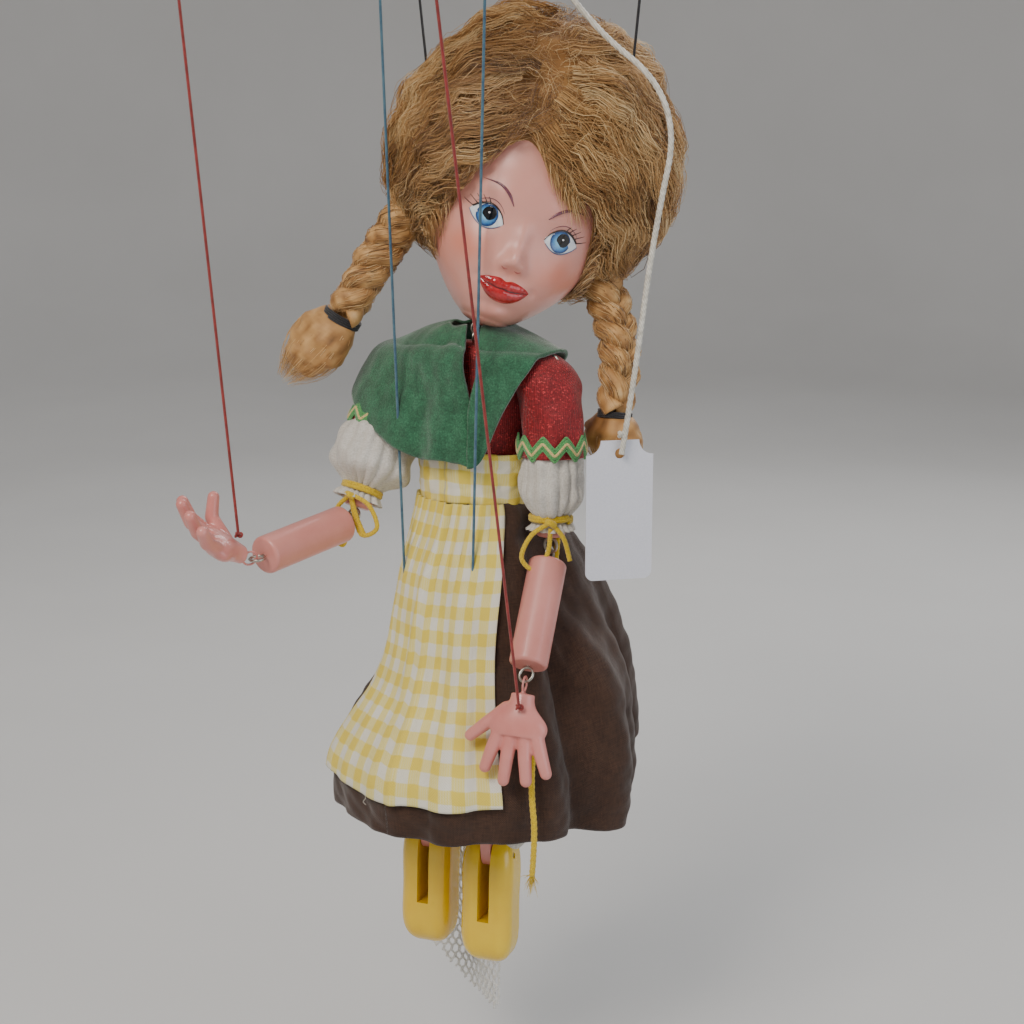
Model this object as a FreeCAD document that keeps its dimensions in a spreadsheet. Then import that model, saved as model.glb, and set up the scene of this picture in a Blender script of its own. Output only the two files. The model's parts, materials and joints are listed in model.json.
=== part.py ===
import FreeCAD, Part
import Sketcher
import math
import os

# A string marionette of a girl with braids, hanging from its wooden control.
# Millimetres, +Z up. The origin is the centre of the hanging hole in the control's main bar.
# The puppet's body faces -Y and its own left side is +X. Its head is turned and tilted to its left.

V = FreeCAD.Vector
doc = FreeCAD.newDocument("marionette")
sheet = doc.addObject("Spreadsheet::Sheet", "Sizes")

SIZES = [
    # control
    ("bar_width", 12, "width of every control bar"),
    ("main_bar_height", 12, "height of the main bar, centred on the origin"),
    ("cross_bar_height", 10, "height of each crossbar under the main bar"),
    ("main_bar_front", 96, "main bar ahead of the hanging hole"),
    ("main_bar_back", 56, "main bar behind the hanging hole"),
    ("hang_hole_radius", 3, "hanging hole"),
    ("hand_bar_y", -88, "hand bar's place along the main bar"),
    ("hand_bar_half", 44, "hand string hole from the middle"),
    ("leg_bar_y", -22, "leg bar's place along the main bar"),
    ("leg_bar_half", 22, "knee string hole from the middle"),
    ("head_bar_y", 25, "head bar's place along the main bar"),
    ("head_bar_half", 50, "head string hole from the middle"),
    ("bar_overhang", 7, "crossbar past its string hole"),
    ("screw_radius", 1.5, "shank of the screws through the bars"),
    ("screw_head_radius", 3.2, "countersunk screw head"),
    # strings
    ("string_diameter", 0.9, "hand, knee and head strings"),
    ("string_play", 0.25, "gap between a string and the hole it slides in"),
    ("swing_play", 1.0, "gap between a head string and its hole, in which it swings"),
    ("knot_radius", 1.9, "knot on top of a bar"),
    # screw eyes and dowels
    ("eye_radius", 2.3, "ring of a screw eye, to the wire's centre"),
    ("wire_radius", 0.45, "wire of a screw eye"),
    ("shank_radius", 0.6, "threaded shank of a screw eye"),
    ("link_play", 0.75, "play between two linked rings"),
    ("eye_reach", 4.3, "from a joint to the wood beside it"),
    ("eye_shank", 6, "screw eye's shank inside the wood"),
    ("dowel_radius", 6, "forearm, thigh and shin dowels"),
    ("upper_dowel_radius", 4.6, "upper arm dowel, hidden in its sleeve"),
    # body
    ("neck_z", -183, "neck joint"),
    ("shoulder_x", 29, "shoulder joints, each side"),
    ("shoulder_z", -192, "shoulder joints"),
    ("waist_z", -219, "top of the waistband"),
    ("waistband_height", 16, "waistband"),
    ("cloth", 1.5, "thickness of bodice, collar and skirt"),
    ("hip_x", 11, "hip joints, each side"),
    ("hip_z", -255, "hip joints"),
    # arms
    ("upper_arm", 57, "shoulder joint to elbow joint"),
    ("forearm", 43.5, "elbow joint to wrist joint"),
    ("sleeve_radius", 8.8, "red sleeve at its hem"),
    ("sleeve_length", 22, "red sleeve, from the top of the dowel"),
    ("puff_radius_left", 9.0, "white puff sleeve, left"),
    ("puff_radius_right", 11.6, "white puff sleeve, right"),
    ("puff_length", 22, "white puff sleeve"),
    ("trim_height", 5, "zigzag trim on the sleeve"),
    # hands
    ("yarn_bow_radius", 2.6, "bow of the yarn tie"),
    ("palm_length", 11, "palm"),
    ("palm_width", 14.5, "palm"),
    ("finger_length", 12, "longest finger"),
    ("finger_radius", 1.9, "finger"),
    # legs
    ("thigh", 46, "hip joint to knee joint"),
    ("shin", 54, "knee joint to ankle pin"),
    ("thigh_lean", 21, "degrees the thigh leans forward at rest"),
    ("foot_turn", 16, "degrees each shoe turns to the left"),
    ("shoe_length", 41, "heel to toe"),
    ("shoe_width", 17.5, "shoe"),
    ("shoe_height", 15, "sole to instep"),
    ("slot_width", 4, "slot in the shoe for the leg's tongue"),
    ("pin_radius", 1, "ankle pin"),
    # head
    ("head_turn", 36, "degrees the head turns to its left"),
    ("head_tilt", 20, "degrees the head tilts to its left"),
    ("head_lift", 6, "degrees the face looks up"),
    ("head_half_width", 26, "head"),
    ("head_half_depth", 27, "head"),
    ("head_half_height", 33, "head"),
    ("neck_drop", 46, "head centre to neck joint"),
    ("neck_back", 2, "neck joint behind the head's centre"),
    ("neck_radius", 6.5, "neck"),
    ("ear_x", 30, "ear screw eye from the head's middle"),
    ("wig_thickness", 17, "wig over the head"),
    # tag
    ("tag_width", 21, "price tag"),
    ("tag_height", 43, "price tag"),
    ("tag_thickness", 0.5, "price tag"),
    ("tag_turn", 50, "degrees the tag faces to the left"),
    ("tag_hole_drop", 4, "hole below the tag's top edge"),
    ("tag_hole_radius", 1.6, "hole in the tag"),
    ("tag_string_diameter", 1.8, "white twisted string"),
    ("yarn_diameter", 2, "yellow yarn"),
]

for row, (alias, value, note) in enumerate(SIZES, start=1):
    sheet.set(f"A{row}", alias)
    sheet.set(f"B{row}", str(value))
    sheet.set(f"C{row}", note)
    sheet.setAlias(f"B{row}", alias)
doc.recompute()


def size(alias):
    return float(sheet.get(alias))


def bind(obj, **sizes):
    """Binds properties of a document object to sheet expressions; an alias is written @alias."""
    for prop, expression in sizes.items():
        obj.setExpression(prop, expression.replace("@", "Sizes."))
    return obj


def cylinder(name, radius, length, at=V(), axis=V(0, 0, 1)):
    """A cylinder from `at` along `axis`."""
    obj = doc.addObject("Part::Cylinder", name)
    bind(obj, Radius=radius, Height=length)
    obj.Placement = FreeCAD.Placement(at, FreeCAD.Rotation(V(0, 0, 1), axis))
    return obj


def tube(name, outer, inner, length):
    """A straight tube standing on the local XY plane, from z = 0 up."""
    cut = doc.addObject("Part::Cut", name)
    cut.Base = cylinder(name + "_outer", outer, length)
    cut.Tool = cylinder(name + "_inner", inner, length)
    return cut


def ellipsoid(name, x, y, z, at=V()):
    obj = doc.addObject("Part::Ellipsoid", name)
    bind(obj, Radius1=z, Radius2=x, Radius3=y)
    obj.Placement.Base = at
    return obj


def fuse(name, shapes):
    obj = doc.addObject("Part::MultiFuse", name)
    obj.Shapes = shapes
    return obj


def cut(name, base, tool):
    obj = doc.addObject("Part::Cut", name)
    obj.Base = base
    obj.Tool = tool
    return obj


def group(name, shapes):
    """Separate identical solids in one node."""
    obj = doc.addObject("Part::Compound", name)
    obj.Links = shapes
    return obj


def feature(name, shape, placement=None):
    obj = doc.addObject("Part::Feature", name)
    obj.Shape = shape
    if placement:
        obj.Placement = placement
    return obj


NODES = []


def node(obj, label):
    """Names a finished sub-part; the label is its file name."""
    obj.Label = label
    NODES.append(obj)
    return obj


def pose(origin, down, x_hint):
    """Placement of a limb piece: local -Z runs down the limb, local X lies near x_hint."""
    return FreeCAD.Placement(origin, FreeCAD.Rotation(x_hint, V(), down * -1, "ZXY"))


def limb_direction(forward, out):
    """Unit vector hanging down, swung `forward` towards -Y and `out` towards +X, in degrees."""
    f = math.radians(forward)
    o = math.radians(out)
    return V(math.sin(o), -math.cos(o) * math.sin(f), -math.cos(o) * math.cos(f))


# ---------------------------------------------------------------- joints' places

LEFT = 1
RIGHT = -1
SIDES = [("left", LEFT), ("right", RIGHT)]

NECK = V(0, 0, size("neck_z"))
SHOULDER = {s: V(k * size("shoulder_x"), 0, size("shoulder_z")) for s, k in SIDES}
UPPER_ARM_DIRECTION = {"left": limb_direction(2, 1), "right": limb_direction(25, -4)}
FOREARM_DIRECTION = {"left": limb_direction(36, 11), "right": limb_direction(83, -3)}
HAND_DIRECTION = {"left": limb_direction(20, 4), "right": limb_direction(120, -14)}
ELBOW = {s: SHOULDER[s] + UPPER_ARM_DIRECTION[s] * size("upper_arm") for s, k in SIDES}
WRIST = {s: ELBOW[s] + FOREARM_DIRECTION[s] * size("forearm") for s, k in SIDES}

HIP = {s: V(k * size("hip_x"), 0, size("hip_z")) for s, k in SIDES}
THIGH_DIRECTION = {s: limb_direction(size("thigh_lean"), k * 2) for s, k in SIDES}
SHIN_DIRECTION = {s: limb_direction(-6, 0) for s, k in SIDES}
KNEE = {s: HIP[s] + THIGH_DIRECTION[s] * size("thigh") for s, k in SIDES}
ANKLE = {s: KNEE[s] + SHIN_DIRECTION[s] * size("shin") for s, k in SIDES}

TURN = FreeCAD.Rotation(V(0, 0, 1), size("head_turn"))
TILT = FreeCAD.Rotation(V(0, 1, 0), size("head_tilt"))
LIFT = FreeCAD.Rotation(V(1, 0, 0), -size("head_lift"))
HEAD_ROTATION = TURN * TILT * LIFT
HEAD = NECK - HEAD_ROTATION * V(0, size("neck_back"), -size("neck_drop"))
HEAD_PLACE = FreeCAD.Placement(HEAD, HEAD_ROTATION)
EAR = {s: HEAD_PLACE * V(k * size("ear_x"), 0, 0) for s, k in SIDES}

BAR_BOTTOM = -size("main_bar_height") / 2 - size("cross_bar_height")
HAND_HOLE = {s: V(k * size("hand_bar_half"), size("hand_bar_y"), BAR_BOTTOM) for s, k in SIDES}
LEG_HOLE = {s: V(k * size("leg_bar_half"), size("leg_bar_y"), BAR_BOTTOM) for s, k in SIDES}
HEAD_HOLE = {s: V(k * size("head_bar_half"), size("head_bar_y"), BAR_BOTTOM) for s, k in SIDES}

# Where each string meets its limb: on the back of the hand, and in front of the knee.
HAND_GRIP = {
    "left": WRIST["left"] + HAND_DIRECTION["left"] * 8 + V(2.2, -4.4, 1),
    "right": WRIST["right"] + HAND_DIRECTION["right"] * 9 + V(1.6, 2, 4.4),
}
KNEE_GRIP = {s: KNEE[s] + V(0, -4.5, 7) for s, k in SIDES}


# ---------------------------------------------------------------- screw eyes

RING_OFFSET = size("eye_radius") - size("wire_radius") - size("link_play") / 2


def screw_eye(name, joint, side, ring_normal, shank=None):
    """One half of a linked pair. `side` points from the joint to the wood that holds this eye.

    The shank leaves the ring along `shank`, which is `side` unless given.
    """
    ring = doc.addObject("Part::Torus", name + "_ring")
    bind(ring, Radius1="@eye_radius", Radius2="@wire_radius")
    ring.Placement.Rotation = FreeCAD.Rotation(V(1, 0, 0), 90)
    start = size("eye_radius") * 0.98
    stem = cylinder(name + "_shank", "@shank_radius", "@eye_reach + @eye_shank - 2 * @eye_radius",
                    V(0, 0, start))
    eye = fuse(name, [ring, stem])
    axis = shank or side
    eye.Placement = FreeCAD.Placement(
        joint + side * RING_OFFSET, FreeCAD.Rotation(V(), ring_normal, axis, "ZYX"))
    return eye


def shank_bore(name, joint, side):
    """The bore in the wood that the shank fills, for a straight eye."""
    return cylinder(name, "@shank_radius", "@eye_reach + @eye_shank", joint, side)


# ---------------------------------------------------------------- control

def rectangle_sketch(body, name, width, left, depth, front):
    """A rectangle on the body's XY plane; `left` and `front` run from its corner to the origin."""
    plane = next(f for f in body.Origin.OriginFeatures if f.Role == "XY_Plane")
    outline = body.newObject("Sketcher::SketchObject", name)
    outline.AttachmentSupport = [(plane, "")]
    outline.MapMode = "FlatFace"
    corners = [V(-1, -1, 0), V(1, -1, 0), V(1, 1, 0), V(-1, 1, 0)]
    for i in range(4):
        outline.addGeometry(Part.LineSegment(corners[i], corners[(i + 1) % 4]))
    for i in range(4):
        outline.addConstraint(Sketcher.Constraint("Coincident", i, 2, (i + 1) % 4, 1))
    for edge, direction in enumerate(("Horizontal", "Vertical") * 2):
        outline.addConstraint(Sketcher.Constraint(direction, edge))
    lengths = {
        outline.addConstraint(Sketcher.Constraint("DistanceX", 0, 1, 0, 2, 2)): width,
        outline.addConstraint(Sketcher.Constraint("DistanceY", 1, 1, 1, 2, 2)): depth,
        outline.addConstraint(Sketcher.Constraint("DistanceX", 0, 1, -1, 1, 1)): left,
        outline.addConstraint(Sketcher.Constraint("DistanceY", 0, 1, -1, 1, 1)): front,
    }
    for index, expression in lengths.items():
        outline.setExpression(f"Constraints[{index}]", expression.replace("@", "Sizes."))
    return outline


def bar_body(name, width, left, depth, front, height):
    """A flat wooden bar as a PartDesign body: a rectangle padded up from its own XY plane."""
    body = doc.addObject("PartDesign::Body", name)
    pad = body.newObject("PartDesign::Pad", name + "_pad")
    pad.Profile = rectangle_sketch(body, name + "_outline", width, left, depth, front)
    bind(pad, Length=height)
    body.Tip = pad
    doc.recompute()
    ends = [f"Edge{i + 1}" for i, e in enumerate(pad.Shape.Edges)
            if abs(e.tangentAt(e.FirstParameter).z) > 0.9]
    rounded = body.newObject("PartDesign::Fillet", name + "_fillet")
    rounded.Base = (pad, ends)
    rounded.Radius = 2.5
    body.Tip = rounded
    return body


def control():
    """Main bar with the hanging hole, and three crossbars screwed under it."""
    main = bar_body("main_bar", "@bar_width", "@bar_width / 2", "@main_bar_front + @main_bar_back",
                    "@main_bar_front", "@main_bar_height")
    main.Placement.Base = V(0, 0, -size("main_bar_height") / 2)
    deep = V(0, 0, -size("main_bar_height"))
    drills = [cylinder("hang_drill", "@hang_hole_radius", "2 * @main_bar_height", deep)]
    screws = []
    holes = {"hand": HAND_HOLE, "leg": LEG_HOLE, "head": HEAD_HOLE}
    ends = {"hand": HAND_GRIP, "leg": KNEE_GRIP, "head": EAR}
    for bar, hole in holes.items():
        play = "@swing_play" if bar == "head" else "@string_play"
        y = hole["left"].y
        body = bar_body(bar + "_bar", f"2 * (@{bar}_bar_half + @bar_overhang)",
                        f"@{bar}_bar_half + @bar_overhang", "@bar_width", "@bar_width / 2",
                        "@cross_bar_height")
        body.Placement.Base = V(0, y, BAR_BOTTOM)
        tools = [cylinder(bar + "_drill", "@screw_radius", "@cross_bar_height", V(0, y, BAR_BOTTOM))]
        for side, _ in SIDES:
            run = (hole[side] - ends[bar][side]).normalize()
            tools.append(cylinder(f"{bar}_string_drill_{side}", "@string_diameter / 2 + " + play,
                                  "4 * @cross_bar_height", hole[side] - run * 10, run))
        node(cut(f"{bar}_bar_drilled", body, fuse(bar + "_tools", tools)), f"control_{bar}_bar")
        drills += [cylinder(bar + "_through", "@screw_radius", "2 * @main_bar_height", V(0, y, 0) + deep),
                   countersink(bar, y)]
        screws.append(wood_screw(bar, y))
    node(cut("main_bar_drilled", main, fuse("main_tools", drills)), "control_main_bar")
    node(group("screws", screws), "control_screws")


def cone(name, bottom, top, height, at):
    obj = doc.addObject("Part::Cone", name)
    bind(obj, Radius1=bottom, Radius2=top, Height=height)
    obj.Placement.Base = at
    return obj


def countersink(bar, y):
    sink = size("screw_head_radius") - size("screw_radius")
    return cone(bar + "_sink", "@screw_radius", "@screw_head_radius",
                "@screw_head_radius - @screw_radius", V(0, y, size("main_bar_height") / 2 - sink))


def wood_screw(bar, y):
    """A countersunk screw through the main bar into a crossbar."""
    sink = size("screw_head_radius") - size("screw_radius")
    top = size("main_bar_height") / 2
    shank = cylinder(bar + "_screw_shank", "@screw_radius", "@main_bar_height + @cross_bar_height - 2",
                     V(0, y, BAR_BOTTOM + 2))
    head = cone(bar + "_screw_head", "@screw_radius", "@screw_head_radius",
                "@screw_head_radius - @screw_radius", V(0, y, top - sink))
    return fuse(bar + "_screw", [shank, head])


# ---------------------------------------------------------------- strings

def taut_string(name, label, hole, grip, gap):
    """A straight string from its knot on the bar, down through its hole, to `gap` short of its grip."""
    run = (hole - grip).normalize()
    rise = size("cross_bar_height") / run.z
    low = grip + run * gap
    length = (hole - low).Length + rise + size("knot_radius")
    line = doc.addObject("Part::Cylinder", name + "_line")
    bind(line, Radius="@string_diameter / 2")
    line.Height = length
    line.Placement = FreeCAD.Placement(low, FreeCAD.Rotation(V(0, 0, 1), run))
    knot = doc.addObject("Part::Sphere", name + "_knot")
    bind(knot, Radius="@knot_radius")
    knot.Placement.Base = low + run * (length + size("string_diameter"))
    node(fuse(name, [line, knot]), label)


def strings():
    for side, _ in SIDES:
        taut_string(f"hand_line_{side}", f"hand_string_{side}", HAND_HOLE[side], HAND_GRIP[side], 1.2)
        taut_string(f"knee_line_{side}", f"knee_string_{side}", LEG_HOLE[side], KNEE_GRIP[side], 14)
        taut_string(f"head_line_{side}", f"head_string_{side}", HEAD_HOLE[side], EAR[side], 5)


def route_path(points):
    """Straight runs joined by the largest tangent arcs that the runs allow, and the arcs' radii."""
    edges = []
    radii = []
    start = points[0]
    for before, corner, after in zip(points, points[1:], points[2:]):
        back = before - corner
        ahead = after - corner
        turn = math.pi - back.getAngle(ahead)
        cutback = 0.45 * min(back.Length, ahead.Length)
        radius = cutback / math.tan(turn / 2)
        back.normalize()
        ahead.normalize()
        arc_start = corner + back * cutback
        arc_end = corner + ahead * cutback
        bisector = (back + ahead).normalize()
        centre = corner + bisector * math.hypot(radius, cutback)
        middle = centre - bisector * radius
        edges.append(Part.LineSegment(start, arc_start).toShape())
        edges.append(Part.Arc(arc_start, middle, arc_end).toShape())
        start = arc_end
        radii.append(round(radius, 1))
    edges.append(Part.LineSegment(start, points[-1]).toShape())
    return Part.Wire(edges), radii


def cord(name, label, points, diameter):
    """A round cord swept along its route; its volume is compared with section times length."""
    path, radii = route_path(points)
    profile = Part.Wire([Part.makeCircle(diameter / 2, points[0], points[1] - points[0])])
    solid = path.makePipeShell([profile], True, True)
    expected = math.pi * diameter ** 2 / 4 * path.Length
    error = solid.Volume / expected - 1
    print(f"{label}: length {path.Length:.1f} mm, radii {radii}, volume error {error:.4f}")
    if abs(error) > 0.02:
        raise RuntimeError(label + " is not the volume of its section times its length")
    node(feature(name, solid), label)


TAG_STRING_ROUTE = [
    V(6, 27, -16.2), V(11, 19, -46), V(20, 12, -74), V(42, 6, -93), V(63, 3, -106),
    V(70, 2, -122), V(67, 0, -140), V(63.5, -1.2, -163), V(61, -3, -190), V(57.4, -4.4, -215.4),
]

YARN_TAIL_ROUTE = [
    V(27.5, 5.6, -246), V(26.8, 5.5, -256), V(28, 1, -268), V(30, -8, -281), V(35, -18, -294),
    V(39, -24, -307), V(41.5, -28.5, -319), V(45, -31, -331), V(43, -30, -345),
]


# ---------------------------------------------------------------- body

def oval(z, x, y, centre=(0, 0)):
    """A closed elliptical wire at height z with half-axes x and y."""
    middle = V(centre[0], centre[1], z)
    if x >= y:
        return Part.Wire([Part.Ellipse(middle + V(x, 0, 0), middle + V(0, y, 0), middle).toShape()])
    return Part.Wire([Part.Ellipse(middle + V(0, y, 0), middle + V(-x, 0, 0), middle).toShape()])


def bell(sections, grow=0.0):
    """A smooth solid through elliptical sections (z, x, y, centre y), each grown by `grow`."""
    return Part.makeLoft([oval(z, x + grow, y + grow, (0, cy)) for z, x, y, cy in sections], True, False)


BODY_SECTIONS = [(-235, 15.6, 12.6, 0), (-216, 16.4, 13.2, 0), (-198, 17.6, 12.2, 0), (-190, 13.5, 9.5, 0)]


def torso():
    """Turned wooden body block with bores for its five screw eyes."""
    block = bell(BODY_SECTIONS)
    hips = Part.makeLoft([oval(-250, 14.5, 9), oval(-244, 16.5, 11.6), oval(-235, 15.6, 12.6)], True, False)
    eyes = [screw_eye("neck_eye", NECK, V(0, 0, -1), V(1, 0, 0))]
    solid = feature("torso_solid", block.fuse(hips))
    bores = [shank_bore("neck_bore", NECK, V(0, 0, -1))]
    for side, k in SIDES:
        eyes.append(side_eye(side, k))
        ring = SHOULDER[side] + V(0, 0, RING_OFFSET)
        bores.append(cylinder(f"shoulder_bore_{side}", "@shank_radius", SIDE_SHANK + " + @eye_radius",
                              ring, V(-k, 0, 0)))
        eyes.append(screw_eye(f"hip_eye_{side}", HIP[side], V(0, 0, 1), V(1, 0, 0)))
        bores.append(shank_bore(f"hip_bore_{side}", HIP[side], V(0, 0, 1)))
    node(cut("torso_drilled", solid, fuse("torso_bores", bores)), "torso_block")
    node(group("torso_eyes", eyes), "torso_screw_eyes")


SIDE_SHANK = "@shoulder_x - 10"


def side_eye(side, k):
    """A long screw eye out of the body's side; the arm's ring hangs in it."""
    ring = doc.addObject("Part::Torus", f"shoulder_ring_{side}")
    bind(ring, Radius1="@eye_radius", Radius2="@wire_radius")
    ring.Placement.Rotation = FreeCAD.Rotation(V(1, 0, 0), 90)
    stem = cylinder(f"shoulder_shank_{side}", "@shank_radius", SIDE_SHANK,
                    V(-k * size("eye_radius") * 0.98, 0, 0), V(-k, 0, 0))
    eye = fuse(f"shoulder_eye_{side}", [ring, stem])
    eye.Placement.Base = SHOULDER[side] + V(0, 0, RING_OFFSET)
    return eye


def bodice():
    """Red bodice: a shell round the block, open at the neck and the waist."""
    inner = bell(BODY_SECTIONS)
    outer = bell(BODY_SECTIONS, size("cloth"))
    armholes = Part.makeCylinder(1.5, 60, V(-30, 0, size("shoulder_z") + RING_OFFSET), V(1, 0, 0))
    node(feature("bodice_shell", outer.cut(inner).cut(armholes)), "bodice")


def collar():
    """Green felt collar: a cape over the shoulders with a pointed bib on the chest."""
    cloth = size("cloth")
    cape_outer = Part.makeLoft([oval(-187.4, 31, 17), oval(-184, 20, 13), oval(-180.5, 9, 8)], True, False)
    cape_inner = Part.makeLoft([oval(-187.4 - 2 * cloth, 31, 17), oval(-184 - 1.3 * cloth, 20, 13),
                                oval(-180.5, 7.5, 6.5)], True, False)
    floor = Part.makeBox(80, 80, 20, V(-40, -40, -187.4 - 20))
    cape = cape_outer.cut(cape_inner).cut(floor)
    gap = 0.1
    chest = BODY_SECTIONS + [(-184.5, 12, 9.5, 0)]
    bib = bell(chest, 2 * cloth + gap).cut(bell(chest, cloth + gap))
    front = -3
    point = Part.Face(Part.makePolygon([V(-17, front, -184), V(17, front, -184), V(13, front, -203),
                                        V(2, front, -217), V(-13, front, -203), V(-17, front, -184)]))
    bib = bib.common(point.extrude(V(0, -40, 0)))
    bib = bib.cut(bell(BODY_SECTIONS, cloth + gap))
    neck_room = Part.makeCylinder(9, 20, V(0, 0, NECK.z - 12))
    node(feature("collar_shell", cape.fuse(bib).cut(neck_room)), "collar")


SKIRT_SECTIONS = [(-339, 47, 46, 0), (-316, 45.5, 45.5, 1), (-286, 31.5, 41, 1), (-256, 20.8, 25, 1),
                  (-235.2, 17.6, 14.6, 0)]


def skirt():
    """Brown skirt: a bell open at the hem, with a small hole where each knee string goes in."""
    outer = bell(SKIRT_SECTIONS)
    inner = bell(SKIRT_SECTIONS, -size("cloth"))
    shell = outer.cut(inner)
    for side, _ in SIDES:
        shell = shell.cut(string_clearance(side))
    node(feature("skirt_shell", shell), "skirt")


def string_clearance(side):
    run = (LEG_HOLE[side] - KNEE_GRIP[side])
    return Part.makeCylinder(size("string_diameter") / 2 + 0.5, run.Length, KNEE_GRIP[side], run)


def petticoat():
    """White slip inside the skirt, a little shorter than it."""
    gap = 0.6
    inner = size("cloth") + gap
    shell = bell(SKIRT_SECTIONS, -inner).cut(bell(SKIRT_SECTIONS, -inner - 0.8))
    slab = Part.makeBox(120, 120, 36, V(-60, 6, -336))
    node(feature("petticoat_shell", shell.common(slab)), "petticoat")


def net_trim():
    """A loose strip of white net that hangs from the slip behind the shoes."""
    strip = Part.Face(Part.makePolygon([V(-22, 10, -330), V(2, 10, -330), V(6, 10, -420), V(-9, 10, -413),
                                        V(-20, 10, -398), V(-22, 10, -330)]))
    node(feature("net_strip", strip.extrude(V(0, 1, 0))), "net_trim")


def apron():
    """Gingham apron: a flared panel over the skirt's front, and its waistband."""
    gap = 0.4
    panel = bell(SKIRT_SECTIONS, gap + 0.8).cut(bell(SKIRT_SECTIONS, gap))
    outline = Part.Face(Part.makePolygon([V(-16.5, 0, -235.6), V(16.5, 0, -235.6), V(31, 0, -326),
                                          V(-31, 0, -326), V(-16.5, 0, -235.6)]))
    panel = panel.common(outline.extrude(V(0, -70, 0)))
    for side, _ in SIDES:
        panel = panel.cut(string_clearance(side))
    node(feature("apron_panel", panel), "apron")
    top = size("waist_z")
    low = top - size("waistband_height")
    band_sections = [(low, 17.3, 14.3, 0), (top, 18, 14.8, 0)]
    band = bell(band_sections, 1.4).cut(bell(band_sections, 0.2))
    node(feature("band", band), "waistband")


# ---------------------------------------------------------------- limbs

def dowel(name, label, radius, length, place, bore_ends):
    """A turned rod between two joints, bored for the shanks of its screw eyes."""
    rod = doc.addObject("Part::Cylinder", name + "_rod")
    bind(rod, Radius=radius, Height=f"{length} - 2 * @eye_reach")
    rod.Placement.Base = V(0, 0, size("eye_reach") - size(length[1:]))
    rounded = doc.addObject("Part::Fillet", name + "_rounded")
    rounded.Base = rod
    doc.recompute()
    ends = [i + 1 for i, e in enumerate(rod.Shape.Edges) if e.Closed and len(e.Vertexes) == 1
            and isinstance(e.Curve, Part.Circle)]
    rounded.Edges = [(i, 1.2, 1.2) for i in ends]
    bores = []
    if "top" in bore_ends:
        bores.append(shank_bore(name + "_top_bore", V(), V(0, 0, -1)))
    if "bottom" in bore_ends:
        bores.append(shank_bore(name + "_bottom_bore", V(0, 0, -size(length[1:])), V(0, 0, 1)))
    bored = cut(name + "_bored", rounded, fuse(name + "_bores", bores))
    bored.Placement = place
    return node(bored, label)


def arm(side, k):
    down = UPPER_ARM_DIRECTION[side]
    upper = pose(SHOULDER[side], down, V(1, 0, 0))
    lower = pose(ELBOW[side], FOREARM_DIRECTION[side], V(1, 0, 0))
    dowel(f"upper_{side}", f"upper_arm_{side}", "@upper_dowel_radius", "@upper_arm", upper, "top bottom")
    across = upper.Rotation * V(1, 0, 0)
    forward = upper.Rotation * V(0, 1, 0)
    node(group(f"upper_eyes_{side}", [
        screw_eye(f"arm_eye_{side}", SHOULDER[side], down, across),
        screw_eye(f"elbow_eye_{side}", ELBOW[side], down * -1, forward),
    ]), f"upper_arm_screw_eyes_{side}")

    dowel(f"lower_{side}", f"forearm_{side}", "@dowel_radius", "@forearm", lower, "top bottom")
    forearm_down = FOREARM_DIRECTION[side]
    node(group(f"lower_eyes_{side}", [
        screw_eye(f"forearm_eye_{side}", ELBOW[side], forearm_down, lower.Rotation * V(1, 0, 0)),
        screw_eye(f"wrist_eye_{side}", WRIST[side], forearm_down * -1, lower.Rotation * V(0, 1, 0)),
    ]), f"forearm_screw_eyes_{side}")
    sleeves(side, upper)
    hand(side, k)


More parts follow.
